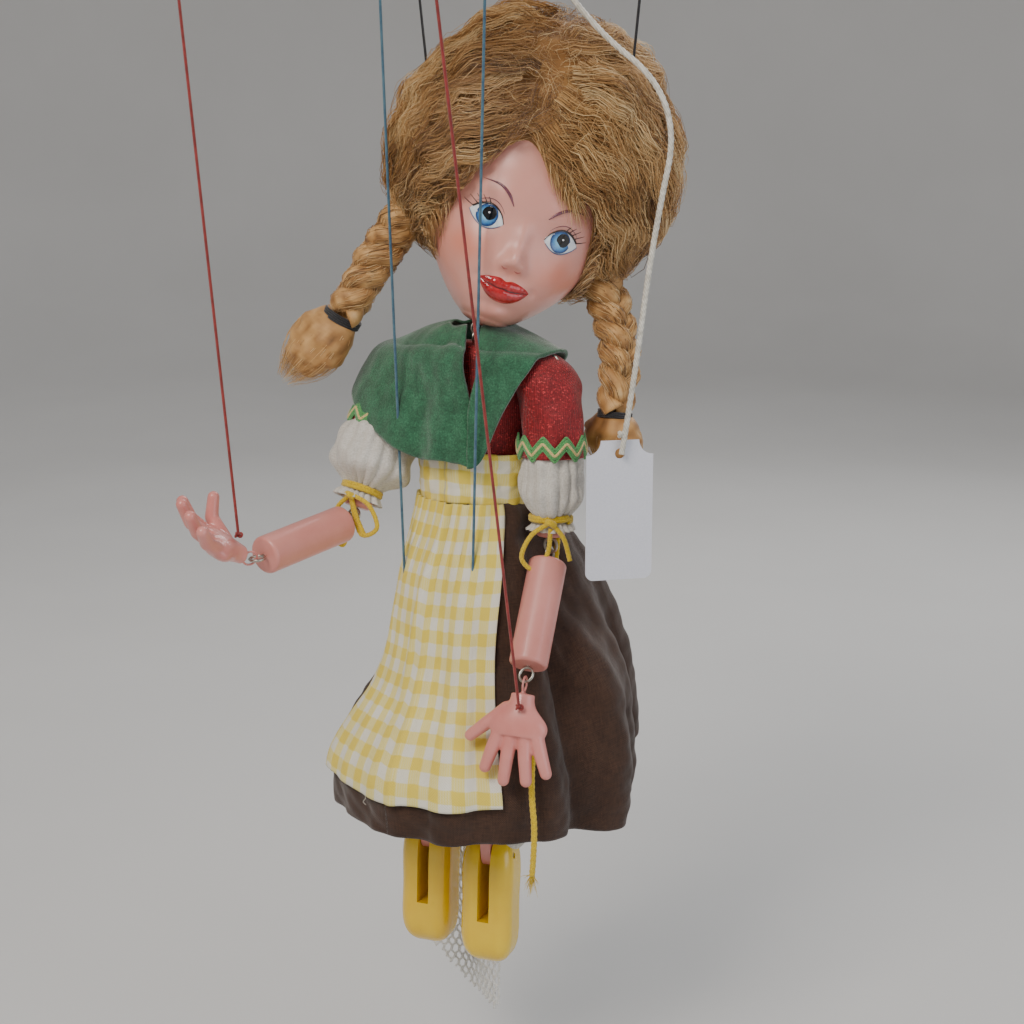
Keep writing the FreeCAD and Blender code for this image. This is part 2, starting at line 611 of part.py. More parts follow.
def sleeves(side, upper):
    """Red sleeve, its zigzag trim, the white puff below and the yarn that gathers it."""
    top = -size("eye_reach")
    sleeve_end = top - size("sleeve_length")
    puff_end = sleeve_end - size("puff_length")
    bore = "@upper_dowel_radius"

    sleeve = tube(f"sleeve_tube_{side}", "@sleeve_radius", bore, "@sleeve_length")
    sleeve.Placement = upper * FreeCAD.Placement(V(0, 0, sleeve_end), FreeCAD.Rotation())
    node(sleeve, f"sleeve_{side}")

    trim = tube(f"trim_tube_{side}", "@sleeve_radius + 1", "@sleeve_radius", "@trim_height")
    trim.Placement = upper * FreeCAD.Placement(V(0, 0, sleeve_end + 1), FreeCAD.Rotation())
    node(trim, f"zigzag_trim_{side}")

    belly = size(f"puff_radius_{side}")
    wrist_cuff = size("upper_dowel_radius") + 1.4
    profile = Part.Wire([
        Part.LineSegment(V(size("upper_dowel_radius"), 0, puff_end), V(wrist_cuff, 0, puff_end)).toShape(),
        Part.Arc(V(wrist_cuff, 0, puff_end), V(belly, 0, (sleeve_end + puff_end) / 2 - 1),
                 V(size("sleeve_radius") - 0.6, 0, sleeve_end)).toShape(),
        Part.LineSegment(V(size("sleeve_radius") - 0.6, 0, sleeve_end),
                         V(size("upper_dowel_radius"), 0, sleeve_end)).toShape(),
        Part.LineSegment(V(size("upper_dowel_radius"), 0, sleeve_end),
                         V(size("upper_dowel_radius"), 0, puff_end)).toShape(),
    ])
    puff = Part.Face(profile).revolve(V(), V(0, 0, 1), 360)
    node(feature(f"puff_{side}", puff, upper), f"puff_sleeve_{side}")

    ring = doc.addObject("Part::Torus", f"yarn_ring_{side}")
    bind(ring, Radius1="@upper_dowel_radius + @yarn_diameter / 2", Radius2="@yarn_diameter / 2")
    bow = doc.addObject("Part::Torus", f"yarn_bow_{side}")
    bind(bow, Radius1="@yarn_bow_radius", Radius2="@yarn_diameter / 2")
    bow_place = V(0, size("upper_dowel_radius") + 4.4, 0)
    bow.Placement = FreeCAD.Placement(bow_place, FreeCAD.Rotation(V(1, 0, 0), 70))
    tie = fuse(f"yarn_{side}", [ring, bow])
    tie.Placement = upper * FreeCAD.Placement(V(0, 0, puff_end - size("yarn_diameter") / 2 - 0.05),
                                              FreeCAD.Rotation())
    node(tie, f"yarn_tie_{side}")


FINGERS = [
    # place across the palm, splay in degrees, share of the longest finger
    (-4.6, -17, 0.80),
    (-1.6, -4, 1.00),
    (1.7, 8, 0.96),
    (4.7, 21, 0.78),
]

# Degrees the fingertips and the thumb bend out of the palm's plane: the raised hand is cupped.
FINGER_CURL = {"left": 14, "right": 34}
THUMB_CURL = {"left": 10, "right": 60}


def hand(side, k):
    """Moulded hand with four fingers, a thumb and the wire loop of its wrist. Back faces local -Y."""
    palm_length = size("palm_length")
    half = size("palm_width") / 2
    reach = size("eye_reach")
    palm_solid = Part.makeLoft([
        oval(-reach, 3.6, 2.6), oval(-reach - 3, 4.0, 2.8), oval(-reach - 0.6 * palm_length, half, 3.1),
        oval(-reach - palm_length, half * 0.95, 2.6)], True, False)
    pieces = []
    curl = FINGER_CURL[side]
    for across, splay, share in FINGERS:
        pieces.append(finger(V(k * across, 0, -reach - palm_length + 2), k * splay,
                             share * size("finger_length") + 2, curl))
    thumb_root = V(-k * half * 0.55, 0.6, -reach - 4)
    pieces.append(finger(thumb_root, -k * 48, size("finger_length") + 0.5,
                         THUMB_CURL[side]))
    ring = Part.makeTorus(size("eye_radius"), size("wire_radius"), V(0, 0, -RING_OFFSET), V(1, 0, 0))
    stem = Part.makeCylinder(size("wire_radius"), 4, V(0, 0, -RING_OFFSET - size("eye_radius") * 0.98),
                             V(0, 0, -1))
    solid = palm_solid.multiFuse(pieces + [ring, stem])
    x_hint = {"left": V(0.93, 0.36, 0), "right": V(-0.85, 0.41, 0.31)}[side]
    node(feature(f"hand_shape_{side}", solid, pose(WRIST[side], HAND_DIRECTION[side], x_hint)),
         f"hand_{side}")


def finger(root, splay, length, curl):
    """A round-ended finger of two joints, splayed in the palm's plane and curled out of it."""
    a = math.radians(splay)
    radii = [size("finger_radius") * share for share in (1.08, 0.97, 0.85)]
    parts = []
    for i, (share, bend) in enumerate(((0.56, 0.35), (0.44, 1.0))):
        c = math.radians(curl * bend)
        along = V(math.sin(a) * math.cos(c), math.sin(c), -math.cos(a) * math.cos(c))
        parts.append(Part.makeCone(radii[i], radii[i + 1], length * share, root, along))
        parts.append(Part.makeSphere(radii[i], root))
        root = root + along * length * share
    parts.append(Part.makeSphere(radii[2], root))
    return parts[0].fuse(parts[1:])


def leg(side):
    upper = pose(HIP[side], THIGH_DIRECTION[side], V(1, 0, 0))
    lower = pose(KNEE[side], SHIN_DIRECTION[side], V(1, 0, 0))
    dowel(f"thigh_{side}", f"thigh_{side}", "@dowel_radius", "@thigh", upper, "top bottom")
    down = THIGH_DIRECTION[side]
    node(group(f"thigh_eyes_{side}", [
        screw_eye(f"thigh_top_eye_{side}", HIP[side], down, upper.Rotation * V(0, 1, 0)),
        screw_eye(f"thigh_knee_eye_{side}", KNEE[side], down * -1, upper.Rotation * V(1, 0, 0)),
    ]), f"thigh_screw_eyes_{side}")
    shin(side, lower)
    shoe(side)


def shin(side, lower):
    """Shin dowel whose lower end is cut down to a flat tongue for the shoe's slot."""
    reach = size("eye_reach")
    length = size("shin")
    tongue = 12
    rod = Part.makeCylinder(size("dowel_radius") - 0.8, length - reach - tongue, V(0, 0, tongue - length))
    flat = Part.makeBox(size("slot_width") - 0.6, 8, tongue,
                        V(-(size("slot_width") - 0.6) / 2, -4, -length))
    flat = flat.fuse(Part.makeCylinder(4, size("slot_width") - 0.6,
                                       V(-(size("slot_width") - 0.6) / 2, 0, -length), V(1, 0, 0)))
    flat.Placement = FreeCAD.Placement(V(), FreeCAD.Rotation(V(0, 0, 1), size("foot_turn")))
    bore = Part.makeCylinder(size("shank_radius"), size("eye_shank") + reach, V(0, 0, 0), V(0, 0, -1))
    turned = FreeCAD.Rotation(V(0, 0, 1), size("foot_turn"))
    pin_hole = Part.makeCylinder(size("pin_radius") + 0.05, 20, V(0, 0, -length) - turned * V(10, 0, 0),
                                 turned * V(1, 0, 0))
    solid = rod.fuse(flat).removeSplitter().cut(bore).cut(pin_hole)
    node(feature(f"shin_shape_{side}", solid, lower), f"shin_{side}")
    node(screw_eye(f"shin_eye_{side}", KNEE[side], SHIN_DIRECTION[side], lower.Rotation * V(0, 1, 0)),
         f"shin_screw_eye_{side}")


def shoe_place(side):
    """Ankle frame of a hanging shoe: local -Z runs to the toe, local -Y is the instep's side."""
    turn = FreeCAD.Rotation(V(0, 0, 1), size("foot_turn"))
    lean = FreeCAD.Rotation(V(1, 0, 0), -4)
    return FreeCAD.Placement(ANKLE[side], turn * lean)


def shoe(side):
    """Wooden shoe, toe down, slotted for the leg's tongue, with the ankle pin across the slot."""
    length = size("shoe_length")
    half = size("shoe_width") / 2
    height = size("shoe_height")
    heel = 4
    sole = height * 0.62
    instep = sole - height
    sections = [(heel, 0.80, 0.74), (heel - 3, 0.93, 0.90), (-length * 0.35, 1.0, 1.0),
                (-length * 0.68, 1.0, 1.0), (heel - length + 4, 0.90, 0.88), (heel - length, 0.55, 0.5)]
    outlines = []
    for z, wide, deep in sections:
        middle = (sole + instep) / 2
        centre = middle + (1 - deep) * height * 0.2
        outlines.append(rounded_rectangle(z, half * wide, height / 2 * deep, centre))
    block = Part.makeLoft(outlines, True, False)
    slot = Part.makeBox(size("slot_width"), height, length * 0.66,
                        V(-size("slot_width") / 2, instep - 1, heel + 1 - length * 0.66))
    pin_bore = Part.makeCylinder(size("pin_radius"), 2 * half, V(-half, 0, 0), V(1, 0, 0))
    solid = block.cut(slot).cut(pin_bore)
    node(feature(f"shoe_shape_{side}", solid, shoe_place(side)), f"shoe_{side}")
    pin = doc.addObject("Part::Cylinder", f"pin_{side}")
    bind(pin, Radius="@pin_radius", Height="@shoe_width - 1.6")
    across = FreeCAD.Placement(V(0.8 - half, 0, 0), FreeCAD.Rotation(V(0, 1, 0), 90))
    pin.Placement = shoe_place(side) * across
    node(pin, f"ankle_pin_{side}")


def rounded_rectangle(z, x, y, centre_y):
    """A rectangle with large round corners at height z."""
    r = 0.62 * min(x, y)
    diagonal = r * (1 - math.sqrt(0.5))
    edges = []
    quarter = [(1, 1), (-1, 1), (-1, -1), (1, -1)]
    points = []
    for i, (sx, sy) in enumerate(quarter):
        horizontal = V(sx * (x - r), centre_y + sy * y, z)
        vertical = V(sx * x, centre_y + sy * (y - r), z)
        middle = V(sx * (x - diagonal), centre_y + sy * (y - diagonal), z)
        first, last = (vertical, horizontal) if i % 2 == 0 else (horizontal, vertical)
        points.append((first, middle, last))
    for i, (first, middle, last) in enumerate(points):
        edges.append(Part.Arc(first, middle, last).toShape())
        edges.append(Part.LineSegment(last, points[(i + 1) % 4][0]).toShape())
    return Part.Wire(edges)


# ---------------------------------------------------------------- head

def head():
    """Moulded head with a narrower jaw and a neck stub, and its three screw eyes."""
    drop = -size("neck_drop")
    back = size("neck_back")
    skull = ellipsoid("skull", "@head_half_width", "@head_half_depth", "@head_half_height")
    jaw = ellipsoid("jaw", "0.78 * @head_half_width", "0.82 * @head_half_depth", "@head_half_height * 0.68",
                    V(0, -4, -19))
    neck = cylinder("neck_stub", "@neck_radius", "24", V(0, back, drop + size("eye_reach")))
    solid = fuse("head_solid", [skull, jaw, neck])
    bores = [shank_bore("head_neck_bore", V(0, back, drop), V(0, 0, 1))]
    eyes = [screw_eye("head_neck_eye", V(0, back, drop), V(0, 0, 1), V(0, 1, 0))]
    for side, k in SIDES:
        inward = V(-k, 0, 0)
        bores.append(shank_bore(f"ear_bore_{side}", V(k * (size("ear_x") + RING_OFFSET), 0, 0), inward))
        ring_middle = V(k * (size("ear_x") + RING_OFFSET), 0, 0)
        eyes.append(screw_eye(f"ear_eye_{side}", ring_middle, inward, V(0, 1, 0)))
    drilled = cut("head_drilled", solid, fuse("head_bores", bores))
    drilled.Placement = HEAD_PLACE
    node(drilled, "head")
    eye_group = group("head_eyes", eyes)
    eye_group.Placement = HEAD_PLACE
    node(eye_group, "head_screw_eyes")


def wig():
    """Mohair wig over the skull, open at the face and notched over each ear for the head string."""
    thick = size("wig_thickness")
    a = size("head_half_width")
    b = size("head_half_depth")
    c = size("head_half_height")
    fluff = scaled_ball(V(0, 8, 9), a + thick, b + thick * 0.53, c + thick * 0.82)
    skull = scaled_ball(V(0, 0, 0), a, b, c)
    jaw = scaled_ball(V(0, -4, -19), 0.78 * a, 0.82 * b, 0.68 * c)
    face = Part.makeBox(2 * a - 4, 60, 60, V(2 - a, -66, -54))
    below = Part.makeBox(200, 200, 60, V(-100, -100, -60 - 22))
    jaw_room = Part.makeBox(200, 90, 60, V(-100, -100, -60 - 8))
    solid = fluff.cut(skull).cut(jaw).cut(face).cut(below).cut(jaw_room)
    for side, k in SIDES:
        solid = solid.cut(string_notch(side, k))
        solid = solid.cut(Part.makeCylinder(5, 60, V(k * (a - 4), 0, 0), V(k, 0, 0)))
        solid = solid.cut(braid_room(side))
    node(feature("wig_shell", solid, HEAD_PLACE), "wig")


def string_notch(side, k):
    """Room for a head string beside the head, as far as it swings while the head nods."""
    run = HEAD_PLACE.Rotation.inverted() * (HEAD_HOLE[side] - EAR[side]).normalize()
    corners = [V(k * (size("ear_x") - 4.5), 0, 0) - run * 12]
    for swing in (-14, 14):
        swung = FreeCAD.Rotation(V(1, 0, 0), swing) * run
        corners.append(corners[0] + swung * 90)
    wedge = Part.Face(Part.makePolygon(corners + [corners[0]]))
    return wedge.extrude(V(k * 60, 0, 0))


def braid_room(side):
    """The opening in the wig round a braid's root, flared for its swing."""
    root, second = [HEAD_PLACE.inverse() * (HEAD + p) for p in BRAID_ROUTE[side][:2]]
    along = (second - root).normalize()
    radius = BRAID_RADIUS[side]
    return Part.makeCone(radius + 1.5, radius + 18, 50, root - along * 2, along)


def scaled_ball(centre, x, y, z):
    """An ellipsoid as a scaled sphere."""
    ball = Part.makeSphere(1)
    matrix = FreeCAD.Matrix()
    matrix.scale(x, y, z)
    matrix.move(centre)
    return ball.transformGeometry(matrix)


BRAID_ROUTE = {
    # in millimetres from the head's middle, turned with the body, not with the head
    "left": [V(19, 14, -28), V(22.5, 15, -37), V(26, 13.5, -46), V(28, 11, -56), V(28.6, 9, -66)],
    "right": [V(-33, -16, -3), V(-38, -19, -12), V(-42, -23, -20), V(-46, -27, -29), V(-50, -30, -36)],
}
BRAID_RADIUS = {"left": 6.6, "right": 7.2}


def braid(side):
    """A braid as a round bar along its route, with its loose end as a ball of hair below the tie."""
    points = [HEAD + p for p in BRAID_ROUTE[side]]
    radius = BRAID_RADIUS[side]
    path, _ = route_path(points)
    profile = Part.Wire([Part.makeCircle(radius, points[0], points[1] - points[0])])
    bar = path.makePipeShell([profile], True, True)
    end = points[-1]
    along = (points[-1] - points[-2]).normalize()
    neck = Part.makeCylinder(radius * 0.62, 4, end - along * 0.5, along)
    tuft = scaled_ball(V(), radius * 1.25, radius * 1.1, radius * 1.35)
    tuft.Placement = pose(end + along * (3 + radius * 1.25), along, V(1, 0, 0))
    node(feature(f"braid_shape_{side}", bar.fuse([neck, tuft])), f"braid_{side}")
    band = doc.addObject("Part::Torus", f"braid_band_{side}")
    band.Radius1 = radius * 0.62 + 0.6
    band.Radius2 = 0.6
    band.Placement = pose(end + along * 1.2, along, V(1, 0, 0))
    node(band, f"braid_tie_{side}")


# ---------------------------------------------------------------- tag

def tag():
    """A card with clipped shoulders and a hole, hanging from its string and turned with the head."""
    body = bar_body("card", "@tag_width", "@tag_width / 2", "@tag_height", "@tag_height - @tag_hole_drop",
                    "@tag_thickness")
    hole = cylinder("tag_hole", "@tag_hole_radius", "4", V(0, 0, -2))
    clips = []
    for k in (-1, 1):
        clip = cylinder(f"tag_shoulder_{k + 2}", "4.5", "4",
                        V(k * size("tag_width") / 2, size("tag_hole_drop"), -2))
        clips.append(clip)
    card = cut("tag_cut", body, fuse("tag_tools", [hole] + clips))
    upright = FreeCAD.Rotation(V(1, 0, 0), 90)
    facing = FreeCAD.Rotation(V(0, 0, 1), size("tag_turn"))
    behind = facing * V(0, size("tag_string_diameter") / 2 + 1.1, 0)
    card.Placement = FreeCAD.Placement(TAG_STRING_ROUTE[-1] + behind, facing * upright)
    node(card, "price_tag")


# ---------------------------------------------------------------- assembly

control()
strings()
torso()
bodice()
collar()
skirt()
petticoat()
net_trim()
apron()
for side_name, sign in SIDES:
    arm(side_name, sign)
    leg(side_name)
head()
wig()
for side_name, _ in SIDES:
    braid(side_name)
tag()
cord("tag_line", "tag_string", TAG_STRING_ROUTE, size("tag_string_diameter"))
cord("yarn_line", "yarn_tail", YARN_TAIL_ROUTE, size("yarn_diameter"))

doc.recompute()
problems = [f"{o.Label}: {o.State}" for o in doc.Objects if {"Invalid", "Error"} & set(o.State)]
for piece in NODES:
    if piece.Shape.isNull() or not piece.Shape.isValid():
        problems.append(piece.Label + ": bad shape")
if problems:
    raise RuntimeError("; ".join(problems))

os.makedirs("parts", exist_ok=True)
for piece in NODES:
    piece.Shape.exportStep(f"parts/{piece.Label}.step")
print(len(NODES), "nodes")
for name, place in (("shoulder", SHOULDER), ("elbow", ELBOW), ("wrist", WRIST), ("hand grip", HAND_GRIP),
                    ("hand hole", HAND_HOLE), ("hip", HIP), ("knee", KNEE), ("knee grip", KNEE_GRIP),
                    ("knee hole", LEG_HOLE), ("ankle", ANKLE), ("ear", EAR), ("head hole", HEAD_HOLE)):
    for side_name, _ in SIDES:
        print(name, side_name, [round(c, 2) for c in place[side_name]])
print("head", [round(c, 2) for c in HEAD], "across", [round(c, 4) for c in HEAD_ROTATION * V(1, 0, 0)])
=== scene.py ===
import json
import math

import bmesh
import bpy
import numpy as np
from mathutils import Matrix, Vector
from mathutils.bvhtree import BVHTree


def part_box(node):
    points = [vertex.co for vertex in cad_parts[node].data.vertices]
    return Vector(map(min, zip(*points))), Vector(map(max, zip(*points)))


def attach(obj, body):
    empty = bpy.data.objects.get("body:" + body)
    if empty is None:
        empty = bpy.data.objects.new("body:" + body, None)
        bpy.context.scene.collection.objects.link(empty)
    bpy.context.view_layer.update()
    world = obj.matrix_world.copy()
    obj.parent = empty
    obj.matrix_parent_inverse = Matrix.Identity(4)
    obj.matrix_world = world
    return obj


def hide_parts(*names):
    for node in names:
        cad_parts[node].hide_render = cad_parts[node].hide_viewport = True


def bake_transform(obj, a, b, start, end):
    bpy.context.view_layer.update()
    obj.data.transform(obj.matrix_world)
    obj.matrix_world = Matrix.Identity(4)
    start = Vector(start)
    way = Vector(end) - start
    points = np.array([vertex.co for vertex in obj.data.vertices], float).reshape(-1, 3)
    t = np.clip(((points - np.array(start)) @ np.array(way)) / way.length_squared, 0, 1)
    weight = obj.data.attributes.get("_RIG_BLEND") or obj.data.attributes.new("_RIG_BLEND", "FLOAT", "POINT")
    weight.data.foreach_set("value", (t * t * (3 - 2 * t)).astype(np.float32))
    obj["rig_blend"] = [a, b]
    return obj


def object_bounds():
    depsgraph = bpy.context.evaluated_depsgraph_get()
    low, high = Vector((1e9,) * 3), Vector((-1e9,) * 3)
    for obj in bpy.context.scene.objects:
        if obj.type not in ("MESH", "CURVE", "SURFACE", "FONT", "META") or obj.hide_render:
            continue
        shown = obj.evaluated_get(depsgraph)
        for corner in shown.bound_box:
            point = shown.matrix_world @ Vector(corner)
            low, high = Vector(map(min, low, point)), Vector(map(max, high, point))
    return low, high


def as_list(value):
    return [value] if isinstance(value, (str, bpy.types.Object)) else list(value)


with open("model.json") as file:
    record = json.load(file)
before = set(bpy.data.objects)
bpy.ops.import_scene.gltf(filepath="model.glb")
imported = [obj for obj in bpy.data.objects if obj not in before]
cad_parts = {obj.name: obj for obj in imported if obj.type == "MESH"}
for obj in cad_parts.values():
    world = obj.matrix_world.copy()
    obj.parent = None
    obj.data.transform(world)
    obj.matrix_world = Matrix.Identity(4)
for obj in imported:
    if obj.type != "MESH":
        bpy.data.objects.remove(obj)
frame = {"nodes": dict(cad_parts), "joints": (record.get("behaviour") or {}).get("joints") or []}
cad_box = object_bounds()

# Looks of a string marionette: a girl with braids under her wooden control.
# Lengths in this file are millimetres until a mesh or a curve is made; MM turns them into metres.
# The body faces -Y, its own left side is +X, and +Z is up.

MM = 0.001
JOINT = {j["name"]: np.array(j["pos_m"]) / MM for j in frame["joints"] if "pos_m" in j}
SIDES = (("left", 1), ("right", -1))


# ---------------------------------------------------------------- small maths

def vec(*numbers):
    return np.array(numbers, float)


def unit(v):
    v = np.asarray(v, float)
    return v / np.maximum(np.linalg.norm(v, axis=-1, keepdims=True), 1e-9)


def turn(axis, degrees):
    """Rotation matrix about one of the axes X, Y or Z."""
    return np.array(Matrix.Rotation(math.radians(degrees), 3, axis))


def smooth(x, low, high):
    """0 below low, 1 above high, and a smooth step between them."""
    t = np.clip((np.asarray(x, float) - low) / (high - low), 0, 1)
    return t * t * (3 - 2 * t)


def bump(x, centre, width):
    return np.exp(-((np.asarray(x, float) - centre) / width) ** 2)


def curve_points(points, count):
    """Evenly spaced points on a smooth line through the given ones."""
    p = np.asarray(points, float)
    ends = np.vstack([2 * p[0] - p[1], p, 2 * p[-1] - p[-2]])
    fine = []
    for i in range(1, len(ends) - 2):
        a, b, c, d = ends[i - 1:i + 3]
        for t in np.linspace(0, 1, 24, endpoint=False):
            fine.append(0.5 * (2 * b + (c - a) * t + (2 * a - 5 * b + 4 * c - d) * t ** 2
                               + (3 * b - a - 3 * c + d) * t ** 3))
    fine.append(p[-1])
    fine = np.array(fine)
    along = np.concatenate([[0], np.cumsum(np.linalg.norm(np.diff(fine, axis=0), axis=1))])
    wanted = np.linspace(0, along[-1], count)
    return np.stack([np.interp(wanted, along, fine[:, k]) for k in range(3)], 1)


def profile(table, x):
    """A smooth function through (x, value) pairs."""
    xs, ys = np.array(sorted(tuple(row) for row in table), float).T
    x = np.asarray(x, float)
    i = np.clip(np.searchsorted(xs, x) - 1, 0, len(xs) - 2)
    slope = np.gradient(ys, xs)
    h = xs[i + 1] - xs[i]
    t = np.clip((x - xs[i]) / h, 0, 1)
    return ((2 * t ** 3 - 3 * t ** 2 + 1) * ys[i] + (t ** 3 - 2 * t ** 2 + t) * h * slope[i]
            + (-2 * t ** 3 + 3 * t ** 2) * ys[i + 1] + (t ** 3 - t ** 2) * h * slope[i + 1])


def ripple(points, wavelength, seed):
    """Smooth noise between about -1 and 1 at each point, with features of that wavelength in mm."""
    random = np.random.default_rng(seed)
    total = np.zeros(np.shape(points)[:-1])
    for _ in range(7):
        direction = unit(random.normal(size=3))
        pitch = wavelength * random.uniform(0.7, 1.5)
        total += np.sin(np.asarray(points) @ direction * 2 * math.pi / pitch + random.uniform(0, 6.28))
    return total / 3.2


def frames_along(path):
    """Tangents and two cross directions along a path, without twist."""
    path = np.asarray(path, float)
    tangent = unit(np.gradient(path, axis=0))
    side = np.zeros_like(path)
    start = vec(0, 0, 1) if abs(tangent[0][2]) < 0.9 else vec(1, 0, 0)
    side[0] = unit(np.cross(tangent[0], start))
    for i in range(1, len(path)):
        side[i] = unit(side[i - 1] - tangent[i] * (side[i - 1] @ tangent[i]))
    return tangent, side, np.cross(tangent, side)


# ---------------------------------------------------------------- meshes

def raw_mesh(name, points, quads, tris=(), uv=None, shade=None):
    """A mesh object in metres from points in mm.

    uv is per point in mm of flat cloth, and shade is a number per point.
    """
    points = np.asarray(points, float).reshape(-1, 3)
    quads = np.asarray(quads, np.int32).reshape(-1, 4)
    tris = np.asarray(tris, np.int32).reshape(-1, 3)
    mesh = bpy.data.meshes.new(name)
    corners = np.concatenate([quads.ravel(), tris.ravel()])
    starts = np.concatenate([np.arange(len(quads)) * 4, quads.size + np.arange(len(tris)) * 3])
    mesh.vertices.add(len(points))
    mesh.vertices.foreach_set("co", (points * MM).ravel())
    mesh.loops.add(len(corners))
    mesh.loops.foreach_set("vertex_index", corners)
    mesh.polygons.add(len(starts))
    mesh.polygons.foreach_set("loop_start", starts)
    mesh.update(calc_edges=True)
    mesh.validate()
    mesh.shade_smooth()
    if uv is not None:
        layer = mesh.uv_layers.new(name="flat")
        layer.data.foreach_set("uv", (np.asarray(uv, float).reshape(-1, 2)[corners] * MM).ravel())
    if shade is not None:
        attribute = mesh.attributes.new("shade", "FLOAT", "POINT")
        attribute.data.foreach_set("value", np.asarray(shade, np.float32).ravel())
    obj = bpy.data.objects.new(name, mesh)
    bpy.context.scene.collection.objects.link(obj)
    return obj


def grid_quads(rows, columns, wrap=False, start=0):
    r = np.arange(rows - 1)[:, None]
    c = np.arange(columns if wrap else columns - 1)[None, :]
    a = r * columns + c
    b = r * columns + (c + 1) % columns
    return np.stack([a, b, b + columns, a + columns], -1).reshape(-1, 4) + start


def finish_piece(obj, material, body, replaced=()):
    """Gives a piece its material and body, and hides the CAD nodes that it stands for."""
    obj.data.materials.append(material)
    if body:
        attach(obj, body)
    if replaced:
        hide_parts(*replaced)
    return obj


def loft(name, rings, uv=None, shade=None, caps=(True, True)):
    """A closed skin through rings of equal point counts, with fans over its ends."""
    rings = np.asarray(rings, float)
    rows, columns, _ = rings.shape
    points = [rings.reshape(-1, 3)]
    tris = []
    uv = None if uv is None else np.reshape(uv, (rows, columns, 2))
    shade = None if shade is None else np.reshape(shade, (rows, columns))
    flat = [] if uv is None else [uv.reshape(-1, 2)]
    tones = [] if shade is None else [shade.ravel()]
    around = np.arange(columns)
    ahead = (around + 1) % columns
    count = rows * columns
    for end, row in ((0, 0), (1, rows - 1)):
        if not caps[end]:
            continue
        points.append(rings[row].mean(0)[None])
        first = np.full(columns, count)
        a, b = row * columns + around, row * columns + ahead
        tris.append(np.stack([first, b, a] if end == 0 else [first, a, b], 1))
        count += 1
        if flat:
            flat.append(uv[row].mean(0)[None])
        if tones:
            tones.append(shade[row].mean()[None])
    return raw_mesh(name, np.vstack(points), grid_quads(rows, columns, True), np.vstack(tris) if tris else (),
                    np.vstack(flat) if flat else None, np.concatenate(tones) if tones else None)


def tube_rings(path, radius, sides=10):
    """Rings of a round tube along a path; radius is one number or one per point."""
    path = np.asarray(path, float)
    _, side, up = frames_along(path)
    angle = np.linspace(0, 2 * math.pi, sides, endpoint=False)
    r = np.broadcast_to(np.asarray(radius, float), len(path))[:, None, None]
    return path[:, None] + r * (np.cos(angle)[None, :, None] * side[:, None]
                                + np.sin(angle)[None, :, None] * up[:, None])


def join_meshes(name, objects):
    """One object from several, in the order given."""
    with bpy.context.temp_override(active_object=objects[0], selected_editable_objects=objects,
                                   selected_objects=objects):
        bpy.ops.object.join()
    objects[0].name = name
    return objects[0]


def cloth_sheet(name, points, thickness, wrap=False, uv=None, shade=None):
    """A sheet of cloth with real thickness: a grid of points, its copy below, and a rim."""
    points = np.asarray(points, float)
    rows, columns, _ = points.shape
    if wrap:
        across = np.roll(points, -1, 1) - np.roll(points, 1, 1)
    else:
        across = np.gradient(points, axis=1)
    normal = unit(np.cross(across, np.gradient(points, axis=0)))
    under = points - normal * thickness
    both = np.concatenate([points.reshape(-1, 3), under.reshape(-1, 3)])
    top = grid_quads(rows, columns, wrap)
    bottom = grid_quads(rows, columns, wrap, rows * columns)[:, ::-1]
    borders = [(np.arange(columns), wrap), ((rows - 1) * columns + np.arange(columns)[::-1], wrap)]
    if not wrap:
        borders = [(np.concatenate([np.arange(columns), (np.arange(1, rows) * columns + columns - 1),
                                    (rows - 1) * columns + np.arange(columns - 2, -1, -1),
                                    np.arange(rows - 2, 0, -1) * columns]), True)]
    rims = []
    for line, closed in borders:
        nxt = np.roll(line, -1)
        if not closed:
            line, nxt = line[:-1], nxt[:-1]
        rims.append(np.stack([line, line + rows * columns, nxt + rows * columns, nxt], 1))
    if uv is not None:
        uv = np.concatenate([np.reshape(uv, (-1, 2))] * 2)
    if shade is not None:
        shade = np.concatenate([np.ravel(shade)] * 2)
    return raw_mesh(name, both, np.vstack([top, bottom] + rims), uv=uv, shade=shade)


def strands(name, lines, radius, shade, outward, sides=3):
    """Many hairs as one mesh. lines is (hairs, points, 3); radius and shade are one number per hair."""
    lines = np.asarray(lines, float)
    hairs, steps, _ = lines.shape
    tangent = unit(np.gradient(lines, axis=1))
    across = unit(np.cross(tangent, outward))
    up = np.cross(across, tangent)
    taper = 1 - 0.75 * np.linspace(0, 1, steps) ** 2
    r = np.reshape(radius, (-1, 1)) * taper[None]
    angle = np.linspace(0, 2 * math.pi, sides, endpoint=False)
    ring = (np.cos(angle)[None, None, :, None] * across[:, :, None]
            + np.sin(angle)[None, None, :, None] * up[:, :, None])
    points = lines[:, :, None] + r[:, :, None, None] * ring
    one = grid_quads(steps, sides, True)
    quads = (one[None] + (np.arange(hairs) * steps * sides)[:, None, None]).reshape(-1, 4)
    tones = np.repeat(np.asarray(shade, float), steps * sides)
    return raw_mesh(name, points, quads, shade=tones)


# ---------------------------------------------------------------- materials

def colour(code):
    """Linear colour from a #RRGGBB code."""
    channels = [int(code[i:i + 2], 16) / 255 for i in (1, 3, 5)]
    return [c / 12.92 if c <= 0.04045 else ((c + 0.055) / 1.055) ** 2.4 for c in channels] + [1.0]


